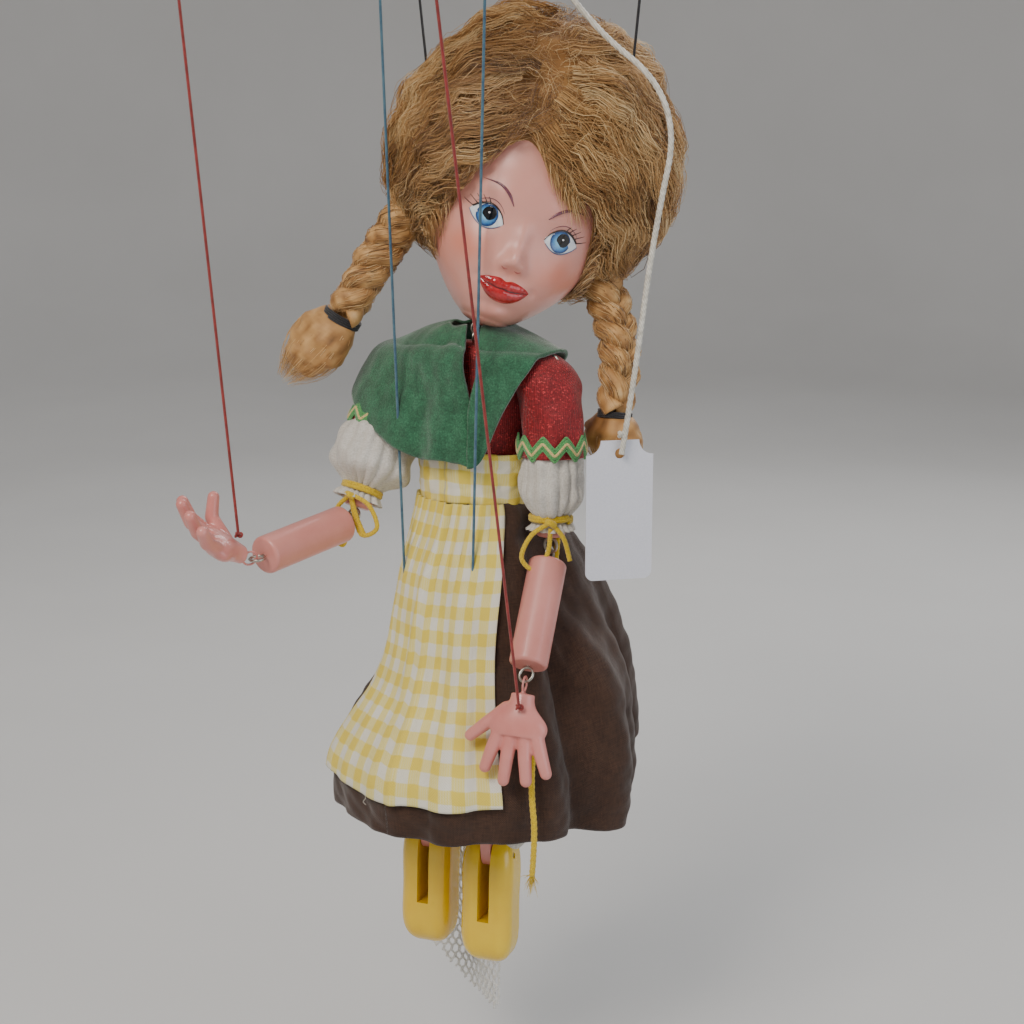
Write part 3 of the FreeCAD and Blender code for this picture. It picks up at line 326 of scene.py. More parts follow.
class Shader:
    """A material's nodes. Sizes are given in mm and turned into texture scales."""

    def __init__(self, name, roughness, **sockets):
        self.material = bpy.data.materials.new(name)
        self.material.use_nodes = True
        self.tree = self.material.node_tree
        self.surface = self.tree.nodes["Principled BSDF"]
        self.surface.inputs["Roughness"].default_value = roughness
        for socket, value in sockets.items():
            self.surface.inputs[socket.replace("_", " ")].default_value = value
        self.place = self.add("TexCoord").outputs["Object"]
        self.height = None

    def add(self, kind, inputs=(), **settings):
        node = self.tree.nodes.new("ShaderNode" + kind)
        for key, value in settings.items():
            setattr(node, key, value)
        for key, value in dict(inputs).items():
            if isinstance(value, bpy.types.NodeSocket):
                self.tree.links.new(value, node.inputs[key])
            else:
                node.inputs[key].default_value = value
        return node

    def math(self, operation, a, b=0.0):
        return self.add("Math", {0: a, 1: b}, operation=operation).outputs[0]

    def noise(self, size, detail=4.0, roughness=0.55, stretch=None, place=None):
        """Noise with features about `size` mm across."""
        place = place or self.place
        if stretch:
            place = self.add("Mapping", {"Vector": place, "Scale": stretch}).outputs[0]
        node = self.add("TexNoise", {"Vector": place, "Scale": 1 / (size * MM), "Detail": detail,
                                     "Roughness": roughness})
        return node.outputs["Fac"]

    def ramp(self, factor, stops):
        """Colours or greys at positions along a factor."""
        node = self.add("ValToRGB", {"Fac": factor})
        ramp = node.color_ramp
        while len(ramp.elements) < len(stops):
            ramp.elements.new(0.5)
        for element, (position, tone) in zip(ramp.elements, stops):
            element.position = position
            element.color = colour(tone) if isinstance(tone, str) else (tone, tone, tone, 1)
        return node.outputs["Color"]

    def mix(self, factor, a, b, blend="MIX"):
        a = colour(a) if isinstance(a, str) else a
        b = colour(b) if isinstance(b, str) else b
        node = self.add("Mix", {0: factor}, data_type="RGBA", blend_type=blend)
        for index, value in ((6, a), (7, b)):
            if isinstance(value, bpy.types.NodeSocket):
                self.tree.links.new(value, node.inputs[index])
            else:
                node.inputs[index].default_value = value
        return node.outputs[2]

    def base(self, socket):
        self.tree.links.new(socket, self.surface.inputs["Base Color"])

    def rough(self, factor, low, high):
        node = self.add("MapRange", {"Value": factor, "To Min": low, "To Max": high})
        self.tree.links.new(node.outputs[0], self.surface.inputs["Roughness"])

    def relief(self, height, depth):
        """Adds a bump `depth` mm deep."""
        sockets = {"Height": height, "Strength": 1.0, "Distance": depth * MM}
        if self.height is not None:
            sockets["Normal"] = self.height
        self.height = self.add("Bump", sockets).outputs[0]
        self.tree.links.new(self.height, self.surface.inputs["Normal"])

    def shade(self):
        return self.add("Attribute", attribute_name="shade").outputs["Fac"]

    def flat(self):
        return self.add("UVMap", uv_map="flat").outputs[0]

    def threads(self, place, pitch, axis):
        """Ridges of threads `pitch` mm apart across one axis of a flat cloth."""
        split = self.add("SeparateXYZ", {0: place})
        turns = self.math("MULTIPLY", split.outputs[axis], 2 * math.pi / (pitch * MM))
        return self.math("SINE", turns)

    def weave(self, place, pitch, depth):
        """Plain weave relief, over and under in both directions."""
        warp = self.threads(place, pitch * 2, 0)
        weft = self.threads(place, pitch * 2, 1)
        over = self.math("MULTIPLY", warp, weft)
        self.relief(over, depth)
        return over


def painted(name, tones, roughness, coat=0.0, speck=None, wear=0.6):
    """Painted wood: slow changes of tone, fine dust, and brush marks in the gloss."""
    s = Shader(name, roughness, Coat_Weight=coat, Coat_Roughness=0.12)
    slow = s.noise(14, 3)
    fine = s.noise(1.1, 5)
    body = s.ramp(slow, [(0.3, tones[0]), (0.7, tones[1])])
    spots = s.ramp(s.noise(2.6, 6, 0.7), [(0.64, 0.0), (0.74, wear)])
    s.base(s.mix(spots, body, speck or tones[0]))
    s.rough(fine, roughness - 0.07, roughness + 0.1)
    s.relief(s.noise(3.2, 4), 0.06)
    s.relief(fine, 0.02)
    return s.material


def bare_wood(name, tones, along):
    """Planed hardwood with long fibres along one axis."""
    s = Shader(name, 0.5, Coat_Weight=0.15, Coat_Roughness=0.3)
    stretch = [1.0, 1.0, 1.0]
    stretch[along] = 0.06
    grain = s.noise(1.3, 7, 0.65, stretch)
    rings = s.noise(5.5, 2, 0.5, stretch)
    pores = s.noise(0.45, 3, 0.6, [1.0 if k != along else 0.04 for k in range(3)])
    tone = s.ramp(grain, [(0.3, tones[0]), (0.52, tones[1]), (0.72, tones[2])])
    tone = s.mix(s.ramp(rings, [(0.42, 0.0), (0.62, 0.55)]), tone, tones[0], "MULTIPLY")
    s.base(tone)
    s.rough(grain, 0.42, 0.62)
    s.relief(pores, 0.07)
    s.relief(grain, 0.05)
    return s.material


def metal(name, tone, roughness):
    s = Shader(name, roughness, Metallic=1.0)
    wear = s.noise(1.2, 5)
    s.base(s.ramp(wear, [(0.35, tone[0]), (0.65, tone[1])]))
    s.rough(wear, roughness - 0.08, roughness + 0.18)
    s.relief(s.noise(0.35, 3), 0.01)
    return s.material


def thread(name, tones, pitch=0.5):
    """Waxed thread: twisted plies seen as slanting ridges, with painted shade in the grooves between them."""
    s = Shader(name, 0.55, Sheen_Weight=0.2)
    split = s.add("SeparateXYZ", {0: s.place})
    slant = s.math("ADD", s.math("MULTIPLY", split.outputs[0], 1.3),
                   s.math("MULTIPLY", split.outputs[1], 1.1))
    lift = s.math("MULTIPLY", s.math("ADD", split.outputs[2], slant), 2 * math.pi / (pitch * MM))
    ply = s.math("SINE", lift)
    tone = s.ramp(s.noise(2.5, 4), [(0.35, tones[0]), (0.65, tones[1])])
    # The colour is darkened in the grooves between the plies: painted shade.
    s.base(s.mix(s.ramp(ply, [(0.0, 0.35), (0.5, 0.0)]), tone, tones[0], "MULTIPLY"))
    s.relief(ply, 0.05)
    return s.material


def woven(name, tones, pitch, depth, roughness=0.85, sheen=0.25, fleck_and_glint=None, place_flat=True):
    """Plain-woven cloth with uneven yarns, painted shade between its threads, and optional bright spots of
    lurex yarn, painted lighter as their glint.
    """
    s = Shader(name, roughness, Sheen_Weight=sheen, Sheen_Roughness=0.4)
    place = s.flat() if place_flat else s.place
    over = s.weave(place, pitch, depth)
    slub = s.noise(pitch * 1.4, 3, 0.6, [0.12, 1.0, 1.0], place)
    slub_up = s.noise(pitch * 1.4, 3, 0.6, [1.0, 0.12, 1.0], place)
    uneven = s.math("MULTIPLY", s.math("ADD", slub, slub_up), 0.5)
    tone = s.ramp(uneven, [(0.38, tones[0]), (0.62, tones[1])])
    # Darker where the threads dip under each other: painted shade between the threads.
    tone = s.mix(s.ramp(over, [(0.0, 0.3), (0.55, 0.0)]), tone, tones[0], "MULTIPLY")
    cloud = s.noise(16, 3)
    tone = s.mix(s.ramp(cloud, [(0.35, 0.22), (0.6, 0.0)]), tone, tones[0], "MULTIPLY")
    # Bright spots mark the lurex yarn; their lighter colour is a painted glint.
    if fleck_and_glint:
        spots = s.ramp(s.noise(pitch * 1.1, 2, 0.5, [0.35, 1.0, 1.0], place), [(0.6, 0.0), (0.68, 1.0)])
        tone = s.mix(spots, tone, fleck_and_glint)
    s.base(tone)
    s.relief(uneven, depth * 1.4)
    return s.material


def gingham(name):
    """White cotton with yellow stripes both ways, full yellow where two stripes cross."""
    s = Shader(name, 0.85, Sheen_Weight=0.25, Sheen_Roughness=0.4)
    place = s.flat()
    wobble = s.noise(9, 2, 0.5, None, place)
    split = s.add("SeparateXYZ", {0: place})
    check = 8.2 * MM
    stripes = []
    for axis in (0, 1):
        moved = s.math("ADD", split.outputs[axis], s.math("MULTIPLY", wobble, 0.9 * MM))
        wave = s.math("SINE", s.math("MULTIPLY", moved, 2 * math.pi / check))
        stripes.append(s.ramp(s.math("ADD", s.math("MULTIPLY", wave, 0.5), 0.5), [(0.44, 0.0), (0.56, 1.0)]))
    both = s.math("MULTIPLY", stripes[0], stripes[1])
    either = s.math("MAXIMUM", stripes[0], stripes[1])
    over = s.weave(place, 0.42, 0.05)
    twill = s.threads(place, 0.84, 0)
    half = s.mix(s.ramp(twill, [(0.3, 0.0), (0.7, 0.35)]), "#F5E78E", "#F8F3DC")
    tone = s.mix(either, "#F0EEE4", half)
    tone = s.mix(both, tone, "#F2DA58")
    # Darker where the threads dip under each other: painted shade between the threads.
    tone = s.mix(s.ramp(over, [(0.0, 0.16), (0.6, 0.0)]), tone, "#C9BC80", "MULTIPLY")
    tone = s.mix(s.ramp(s.noise(13, 4), [(0.4, 0.2), (0.65, 0.0)]), tone, "#D9CFA0", "MULTIPLY")
    s.base(tone)
    s.relief(s.noise(0.8, 4), 0.05)
    return s.material


def felt(name, tones):
    """Pressed wool felt: matted fibres in every direction."""
    s = Shader(name, 0.95, Sheen_Weight=0.5, Sheen_Roughness=0.5)
    fibres = s.noise(0.55, 8, 0.75)
    mat = s.noise(4.5, 5, 0.7)
    tone = s.ramp(fibres, [(0.35, tones[0]), (0.5, tones[1]), (0.68, tones[2])])
    s.base(s.mix(s.ramp(mat, [(0.38, 0.4), (0.6, 0.0)]), tone, tones[0], "MULTIPLY"))
    s.relief(mat, 0.25)
    s.relief(fibres, 0.16)
    return s.material


def hair(name, tones):
    """Mohair: each strand has its own tone. The bodies under the strands carry lower tones, painted shade
    that makes the hair darker towards its roots.
    """
    s = Shader(name, 0.62, Sheen_Weight=0.25, Sheen_Roughness=0.35)
    streak = s.math("ADD", s.math("MULTIPLY", s.shade(), 0.7), s.math("MULTIPLY", s.noise(11, 3), 0.3))
    s.base(s.ramp(streak, list(zip((0.16, 0.34, 0.55, 0.78), tones))))
    s.relief(s.noise(0.3, 3), 0.02)
    return s.material


def yarn(name, tones):
    """Spun yarn with loose fibres."""
    s = Shader(name, 0.9, Sheen_Weight=0.4, Sheen_Roughness=0.5)
    fibres = s.noise(0.3, 6, 0.7)
    s.base(s.ramp(fibres, [(0.34, tones[0]), (0.5, tones[1]), (0.66, tones[2])]))
    s.relief(fibres, 0.12)
    return s.material


def skin(name):
    """Satin pink paint over a moulded head, with sprayed rouge on the cheeks and chin and a painted shadow
    under the nose.
    """
    s = Shader(name, 0.36, Coat_Weight=0.18, Coat_Roughness=0.25, Subsurface_Weight=0.08,
               Subsurface_Scale=2 * MM)
    slow = s.ramp(s.noise(17, 3), [(0.35, "#DE9C8E"), (0.65, "#E3A597")])
    # The shade attribute holds the rouge on the cheeks and chin and a painted shadow under the nose.
    tone = s.mix(s.shade(), slow, "#DE7A58")
    s.base(s.mix(s.ramp(s.noise(1.4, 5, 0.7), [(0.66, 0.0), (0.8, 0.35)]), tone, "#C98474"))
    s.rough(s.noise(2.4, 5), 0.3, 0.44)
    s.relief(s.noise(4.5, 4), 0.05)
    s.relief(s.noise(0.6, 3), 0.012)
    return s.material


def glossy(name, tones, roughness=0.15, size=1.5):
    """Enamel for eyes and lips."""
    s = Shader(name, roughness, Coat_Weight=0.7, Coat_Roughness=0.06)
    s.base(s.ramp(s.noise(size, 4), [(0.35, tones[0]), (0.65, tones[1])]))
    s.relief(s.noise(0.9, 3), 0.015)
    return s.material


def iris_paint(name):
    """Blue iris, lighter towards its middle and darker at the rim."""
    s = Shader(name, 0.15, Coat_Weight=0.7, Coat_Roughness=0.06)
    brushed = s.math("ADD", s.shade(), s.math("MULTIPLY", s.noise(0.8, 5), 0.22))
    s.base(s.ramp(brushed, [(0.45, "#8CC8E8"), (0.78, "#4F93CC"), (0.97, "#2E5F9E"), (1.08, "#234A80")]))
    s.relief(s.noise(0.5, 3), 0.01)
    return s.material


def card(name):
    s = Shader(name, 0.6)
    pulp = s.noise(0.5, 7, 0.7)
    s.base(s.ramp(pulp, [(0.3, "#D2D4DE"), (0.7, "#DEE0E8")]))
    s.relief(pulp, 0.03)
    s.relief(s.noise(9, 3), 0.12)
    return s.material


def floor_paint(name):
    s = Shader(name, 0.8)
    s.base(s.ramp(s.noise(300, 3), [(0.3, "#C9C8C6"), (0.7, "#CFCECC")]))
    return s.material


PINK = painted("Pink painted wood", ("#D4887E", "#DB9389"), 0.38, 0.3, "#C27468", 0.5)
PINK_HAND = painted("Pink moulded hands", ("#D6837A", "#DF938A"), 0.34, 0.35, "#C46A60", 0.4)
BODY_WOOD = bare_wood("Pale body wood", ("#B58A58", "#CFA977", "#DCBB8C"), 2)
CONTROL_LONG = bare_wood("Control wood along Y", ("#A87C4A", "#C89B66", "#DDB884"), 1)
CONTROL_CROSS = bare_wood("Control wood along X", ("#A87C4A", "#C89B66", "#DDB884"), 0)
YELLOW_PAINT = painted("Glossy yellow paint", ("#E8BC14", "#F2CB22"), 0.22, 0.6, "#C89A14", 0.45)
NICKEL = metal("Nickel wire", ("#A8A49A", "#C6C2B8"), 0.3)
STEEL = metal("Zinc plated steel", ("#9A9A98", "#BCBCB8"), 0.34)
RED_THREAD = thread("Red thread", ("#8E2420", "#B23A34"))
BLUE_THREAD = thread("Blue grey thread", ("#3C6680", "#5A8698"))
BLACK_THREAD = thread("Black thread", ("#15151A", "#2A2A30"))
WHITE_THREAD = thread("White twisted cotton", ("#C9C5B8", "#E8E5DA"), 1.4)
RED_CLOTH = woven("Red lurex cloth", ("#7E1218", "#B2222A"), 0.45, 0.10, 0.6, 0.2, "#E0484A", False)
WHITE_COTTON = woven("White cotton", ("#CFCBC2", "#E8E5DE"), 0.3, 0.04, 0.85, 0.3, None, False)
GINGHAM = gingham("Yellow gingham")
BROWN_CLOTH = woven("Brown cotton", ("#3A251A", "#553A2A"), 0.34, 0.05, 0.88, 0.3)
FELT = felt("Green felt", ("#1F4A34", "#2F6B4A", "#4A8A64"))
TRIM_GREEN = yarn("Green braid", ("#2F6A38", "#4F9A55", "#7DBB74"))
TRIM_CREAM = yarn("Cream gold braid", ("#A58A4A", "#D6BE7C", "#F0DFA8"))
YELLOW_YARN = yarn("Yellow yarn", ("#A8860E", "#D6B414", "#EFD230"))
MOHAIR = hair("Golden mohair", ("#5E3E1C", "#A27440", "#CFA266", "#ECCD98"))
NET_COTTON = yarn("White net cotton", ("#B9B8B2", "#DEDDD8", "#F2F2EE"))
SKIN = skin("Satin pink face")
SCLERA = glossy("White of the eye", ("#DCE4EA", "#F2F5F7"))
IRIS = iris_paint("Blue iris")
PUPIL = glossy("Black pupil", ("#06070A", "#0E1014"), 0.1)
# A painted highlight for the white dot on each pupil.
PAINTED_HIGHLIGHT = glossy("Painted eye highlight", ("#F4F6F8", "#FFFFFF"), 0.2)
LASH = glossy("Dark lash paint", ("#1C1210", "#2E1C18"), 0.4)
EYE_LINE = glossy("Blue grey eye line", ("#3A4C78", "#58688C"), 0.4)
BROW = glossy("Purple brown brow paint", ("#5A2A3C", "#7A4050"), 0.4)
LIP = glossy("Red lip paint", ("#9E1418", "#C42428"), 0.2)
CARD = card("White card")


# ---------------------------------------------------------------- camera and light

CAMERA_AZIMUTH = math.radians(36)
CAMERA_ELEVATION = math.radians(12)
CAMERA_DISTANCE = 560
CAMERA_ASIDE = 11
CAMERA_HEIGHT = -241
CAMERA_LENS = 60.8


def camera():
    """The camera looks at the puppet from its left front, a little from above."""
    a, e = CAMERA_AZIMUTH, CAMERA_ELEVATION
    right = vec(math.cos(a), math.sin(a), 0)
    back = vec(math.sin(a) * math.cos(e), -math.cos(a) * math.cos(e), math.sin(e))
    target = right * CAMERA_ASIDE + vec(0, 0, CAMERA_HEIGHT)
    data = bpy.data.cameras.new("Camera")
    data.lens = CAMERA_LENS
    data.sensor_width = 36
    obj = bpy.data.objects.new("Camera", data)
    bpy.context.scene.collection.objects.link(obj)
    obj.location = Vector((target + back * CAMERA_DISTANCE) * MM)
    obj.rotation_euler = Vector(back).to_track_quat("Z", "Y").to_euler()
    bpy.context.scene.camera = obj
    return right, back, target


def area_light(name, place, target, size, power, tone):
    data = bpy.data.lights.new(name, "AREA")
    data.size = size
    data.energy = power
    data.color = colour(tone)[:3]
    obj = bpy.data.objects.new(name, data)
    bpy.context.scene.collection.objects.link(obj)
    obj.location = Vector(place)
    obj.rotation_euler = (Vector(place) - Vector(target)).to_track_quat("Z", "Y").to_euler()


def studio():
    """A pale floor that turns up into a backdrop all round, and three soft lights."""
    right, back, target = camera()
    middle = target * MM
    high = vec(0, 0, 1)
    area_light("Key", middle + back * 0.9 - right * 0.55 + high * 0.75, middle, 0.55, 13, "#FFF6EC")
    area_light("Fill", middle + back * 0.8 + right * 0.95 + high * 0.1, middle, 0.9, 5, "#EEF4FF")
    area_light("Rim", middle - back * 0.8 + right * 0.4 + high * 0.9, middle, 0.6, 6, "#FFFFFF")
    world = bpy.data.worlds.new("Pale room")
    world.use_nodes = True
    world.node_tree.nodes["Background"].inputs["Color"].default_value = colour("#E6E8EC")
    world.node_tree.nodes["Background"].inputs["Strength"].default_value = 0.62
    bpy.context.scene.world = world
    low = cad_box[0][2] / MM - 26
    radii = [0, 700, 1300, 1700, 1950, 2080, 2130, 2130]
    rises = [0, 0, 0, 30, 120, 280, 520, 2400]
    angle = np.linspace(0, 2 * math.pi, 96, endpoint=False)
    rings = [[(max(r, 1) * math.cos(t), max(r, 1) * math.sin(t), low + z) for t in angle]
             for r, z in zip(radii, rises)]
    floor = loft("studio_floor", rings, caps=(True, False))
    floor.data.materials.append(floor_paint("Pale studio floor"))


# ---------------------------------------------------------------- strings

STRING_DIAMETER = 0.9
KNOT_RADIUS = 1.9
CROSS_BAR_HEIGHT = 10
HAND_GRIP = {"left": vec(41.05, -34.22, -290.0), "right": vec(-35.83, -72.71, -240.06)}
KNEE_GRIP = {"left": vec(12.61, -20.97, -290.92), "right": vec(-12.61, -20.97, -290.92)}
EAR = {"left": vec(33.87, 28.09, -150.08), "right": vec(-11.75, -5.05, -129.55)}
TAG_STRING_DIAMETER = 1.8
TAG_STRING_ROUTE = [
    (6, 27, -16.2), (11, 19, -46), (20, 12, -74), (42, 6, -93), (63, 3, -106),
    (70, 2, -122), (67, 0, -140), (63.5, -1.2, -163), (61, -3, -190), (57.4, -4.4, -215.4),
]
YARN_DIAMETER = 2.0
YARN_TAIL_ROUTE = [
    (27.5, 5.6, -246), (26.8, 5.5, -256), (28, 1, -268), (30, -8, -281), (35, -18, -294),
    (39, -24, -307), (41.5, -28.5, -319), (45, -31, -331), (43, -30, -345),
]


def bar_hole(bar, k):
    """Middle of a crossbar's string hole at the bar's underside."""
    low, high = [np.array(corner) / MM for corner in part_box(bar)]
    overhang = 7
    return vec(k * (high[0] - overhang), (low[1] + high[1]) / 2, low[2])


def nurbs_curve(name, points):
    data = bpy.data.curves.new(name, "CURVE")
    data.dimensions = "3D"
    data.resolution_u = 16
    spline = data.splines.new("NURBS")
    spline.points.add(len(points) - 1)
    for point, place in zip(spline.points, points):
        point.co = (*(np.asarray(place, float) * MM), 1)
    spline.order_u = 3
    spline.use_endpoint_u = True
    obj = bpy.data.objects.new(name, data)
    bpy.context.scene.collection.objects.link(obj)
    return obj


def spline_path(points):
    """Points in mm along the NURBS line of a route."""
    obj = nurbs_curve("route", points)
    mesh = bpy.data.meshes.new_from_object(obj)
    path = np.array([v.co for v in mesh.vertices]) / MM
    bpy.data.objects.remove(obj)
    bpy.data.meshes.remove(mesh)
    return path


def knot(name, centre, size, wire, material, body):
    """A small pulled-tight knot of thread."""
    t = np.linspace(0, 2 * math.pi, 72)
    path = np.stack([np.sin(t) + 2 * np.sin(2 * t), np.cos(t) - 2 * np.cos(2 * t), -1.3 * np.sin(3 * t)], 1)
    path = path / 3.0 * (size - wire) + centre
    return finish_piece(loft(name, tube_rings(path, wire, 8)), material, body)


def taut_string(name, hole, grip, material, end_knot):
    """A straight string from its knot on the bar, through the bar's hole, to its grip."""
    run = unit(hole - grip)
    rise = CROSS_BAR_HEIGHT / run[2] + STRING_DIAMETER
    top = hole + run * (rise + KNOT_RADIUS)
    near = 6 * STRING_DIAMETER
    route = [top, top - run * near, grip + run * near, grip]
    line = nurbs_curve(f"{name}_line", route)
    line.data.bevel_depth = STRING_DIAMETER / 2 * MM
    line.data.bevel_resolution = 3
    finish_piece(line, material, name, [name])
    knots = [knot(f"{name}_bar_knot", top, KNOT_RADIUS, 0.42, material, name)]
    if end_knot:
        knots.append(knot(f"{name}_end_knot", grip, end_knot, 0.36, material, name))


def rope_rings(path, radius, plies, pitch, sides=18):
    """Rings of a twisted cord, with a crease between its plies."""
    path = np.asarray(path, float)
    _, side, up = frames_along(path)
    along = np.concatenate([[0], np.cumsum(np.linalg.norm(np.diff(path, axis=0), axis=1))])
    angle = np.linspace(0, 2 * math.pi, sides, endpoint=False)
    phase = plies / 2 * (angle[None] - 2 * math.pi * along[:, None] / pitch)
    r = radius * (0.82 + 0.18 * np.abs(np.cos(phase)))
    return path[:, None] + r[..., None] * (np.cos(angle)[None, :, None] * side[:, None]
                                           + np.sin(angle)[None, :, None] * up[:, None])


def even_path(path, step):
    along = np.concatenate([[0], np.cumsum(np.linalg.norm(np.diff(path, axis=0), axis=1))])
    wanted = np.linspace(0, along[-1], int(along[-1] / step) + 1)
    return np.stack([np.interp(wanted, along, path[:, k]) for k in range(3)], 1), along[-1]


def free_cord(name, node, route, diameter, plies, pitch, material, body, extra):
    """A twisted cord that hangs along its route."""
    path, length = even_path(spline_path(route), 0.35)
    piece = loft(name, rope_rings(path, diameter / 2, plies, pitch))
    finish_piece(piece, material, body, [node])
    tuple(np.array(route[0]) * MM)
    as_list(extra(path))


def strings():
    for side, k in SIDES:
        taut_string(f"hand_string_{side}", bar_hole("control_hand_bar", k), HAND_GRIP[side], RED_THREAD,
                    1.5)
        taut_string(f"knee_string_{side}", bar_hole("control_leg_bar", k), KNEE_GRIP[side], BLUE_THREAD,
                    0)
        taut_string(f"head_string_{side}", bar_hole("control_head_bar", k), EAR[side], BLACK_THREAD,
                    1.5)

    def tag_knot(path):
        return [knot("tag_string_knot", path[0] + vec(0, 0, 1), 2.4, 0.8, WHITE_THREAD, "torso"),
                knot("tag_string_hitch", path[-1] + vec(0, 0, 6), 1.7, 0.62, WHITE_THREAD, "torso")]

    free_cord("tag_string_twisted", "tag_string", TAG_STRING_ROUTE, TAG_STRING_DIAMETER, 2, 4.2, WHITE_THREAD,
              "torso", tag_knot)

    def frayed_end(path):
        random = np.random.default_rng(5)
        along = unit(path[-1] - path[-6])
        lines = []
        for _ in range(46):
            spread = random.normal(size=3) * 0.55
            t = np.linspace(0, 1, 7)[:, None]
            tip = along * random.uniform(2.5, 6) + random.normal(size=3) * 1.3
            lines.append(path[-1] - along * 0.6 + spread * 0.6 * (1 - t) + tip * t + spread * t ** 2)
        fray = strands("yarn_tail_fray", lines, np.full(46, 0.11), random.random(46), vec(0, 1, 0))
        return [finish_piece(fray, YELLOW_YARN, "yarn_tail")]

    free_cord("yarn_tail_twisted", "yarn_tail", YARN_TAIL_ROUTE, YARN_DIAMETER, 2, 3.6, YELLOW_YARN,
              "yarn_tail", frayed_end)


# ---------------------------------------------------------------- head

HEAD_TURN = 36
HEAD_TILT = 20
HEAD_LIFT = 6
FACE_TURN = 6
NECK_DROP = 46
NECK_BACK = 2
NECK_RADIUS = 6.5
HEAD_ROTATION = turn("Z", HEAD_TURN) @ turn("Y", HEAD_TILT) @ turn("X", -HEAD_LIFT)
HEAD_CENTRE = JOINT["head_tip_back"] - HEAD_ROTATION @ vec(0, NECK_BACK, -NECK_DROP)
FACE_ROTATION = HEAD_ROTATION @ turn("Z", FACE_TURN)

# heights above the head's middle with the face's half width, its depth in front and its depth behind
HEAD_WIDTH = [(33, 0), (31, 10.5), (26, 17.5), (17, 23.2), (6, 25.8), (-4, 26), (-12, 25.6), (-19, 24.8),
              (-26, 21.8), (-32, 17.4), (-37, 12.6), (-40.5, 8.2), (-42.6, 4.2), (-43.4, 0)]
HEAD_FRONT = [(33, 0), (31, 10.5), (26, 17.5), (17, 23.4), (6, 26.4), (-4, 26.4), (-12, 25.2), (-19, 24.6),
              (-26, 23.8), (-32, 22.6), (-37, 20.4), (-40.5, 16.4), (-42.6, 10), (-43.4, 0)]
HEAD_BACK = [(33, 0), (31, 10.5), (26, 18), (17, 24), (6, 26.8), (-4, 26.4), (-12, 24), (-19, 20), (-26, 15),
             (-32, 12), (-37, 10), (-40.5, 8), (-42.6, 5), (-43.4, 0)]


def face_relief(x, z):
    """How far the face stands out at each place: nose, lips, cheeks, chin, and the hollows between."""
    below_tip = z < -22.6
    nose_drop = np.where(below_tip, bump(z, -22.6, 2.1), bump(z, -22.6, 3.4))
    nose = 4.0 * bump(x, 0, 2.9) * nose_drop
    bridge = 1.5 * bump(x, 0, 2.6) * smooth(z, -23, -19) * (1 - smooth(z, -15, -8))
    wings = 1.5 * (bump(x, 3.1, 1.5) + bump(x, -3.1, 1.5)) * bump(z, -23.7, 1.7)
    cheeks = 1.3 * (bump(x, 13.5, 6.5) + bump(x, -13.5, 6.5)) * bump(z, -24.5, 6)
    mouth = 1.5 * bump(x, 0, 7) * bump(z, -31.6, 3.4)
    corners = -0.7 * (bump(x, 8.8, 1.5) + bump(x, -8.8, 1.5)) * bump(z, -29.6, 1.6)
    groove = -0.45 * bump(x, 0, 1.0) * bump(z, -27.2, 1.6)
    crease = -0.8 * bump(x, 0, 5) * bump(z, -36.2, 1.1)
    chin = 1.8 * bump(x, 0, 4.6) * bump(z, -39.2, 2.6)
    sockets = -1.0 * (bump(x, 11.5, 6) + bump(x, -11.5, 6)) * bump(z, -11.8, 4.2)
    brows = 0.6 * (bump(x, 11, 7) + bump(x, -11, 7)) * bump(z, -4.5, 3.2)
    return nose + bridge + wings + cheeks + mouth + corners + groove + crease + chin + sockets + brows


def head_mesh():
    """The moulded head. Returns the mesh in the face's own frame for the painted features to sit on."""
    rows, columns = 170, 240
    lift = np.linspace(0, math.pi, rows)
    z = -5.2 + 38.2 * np.cos(lift)
    z[0], z[-1] = 32.98, -43.38
    angle = np.linspace(0, 2 * math.pi, columns, endpoint=False)
    wide = profile(HEAD_WIDTH, z)[:, None]
    front = profile(HEAD_FRONT, z)[:, None]
    rear = profile(HEAD_BACK, z)[:, None]
    square = 1 - 0.03 * np.sin(2 * angle)[None] ** 2
    x = wide * np.sin(angle)[None] / square
    depth = np.where(np.cos(angle) > 0, front, rear)
    y = -depth * np.cos(angle)[None] / square
    ahead = smooth(np.cos(angle)[None], 0.0, 0.35)
    height = np.broadcast_to(z[:, None], x.shape)
    y = y - face_relief(x, height) * ahead
    points = np.stack([x, y, height], -1)
    blush_and_nose_shadow = (bump(x, 15.5, 6.5) + bump(x, -15.5, 6.5)) * bump(height, -21.5, 5.5) * ahead * 0.62
    blush_and_nose_shadow += 0.12 * bump(x, 0, 5) * bump(height, -39.5, 3) * ahead
    # A band under the nose: painted shadow, not rouge.
    blush_and_nose_shadow += 0.22 * bump(x, 0, 5.5) * bump(height, -26.0, 1.1) * ahead
    return points, blush_and_nose_shadow


def to_head(points):
    return np.asarray(points) @ FACE_ROTATION.T + HEAD_CENTRE


class Face:
    """Finds the head's surface under a place on the face given as x to its left and z up."""

    def __init__(self, points):
        rows, columns, _ = points.shape
        quads = grid_quads(rows, columns, True)
        self.tree = BVHTree.FromPolygons(points.reshape(-1, 3).tolist(), quads.tolist())

    def at(self, x, z, lift=0.0):
        hit, normal, _, _ = self.tree.ray_cast(Vector((x, -80, z)), Vector((0, 1, 0)))
        if hit is None:
            return self.at(x * 0.97, (z + 5) * 0.97 - 5, lift)
        if normal.y > 0:
            normal = -normal
        return np.array(hit + normal * lift)


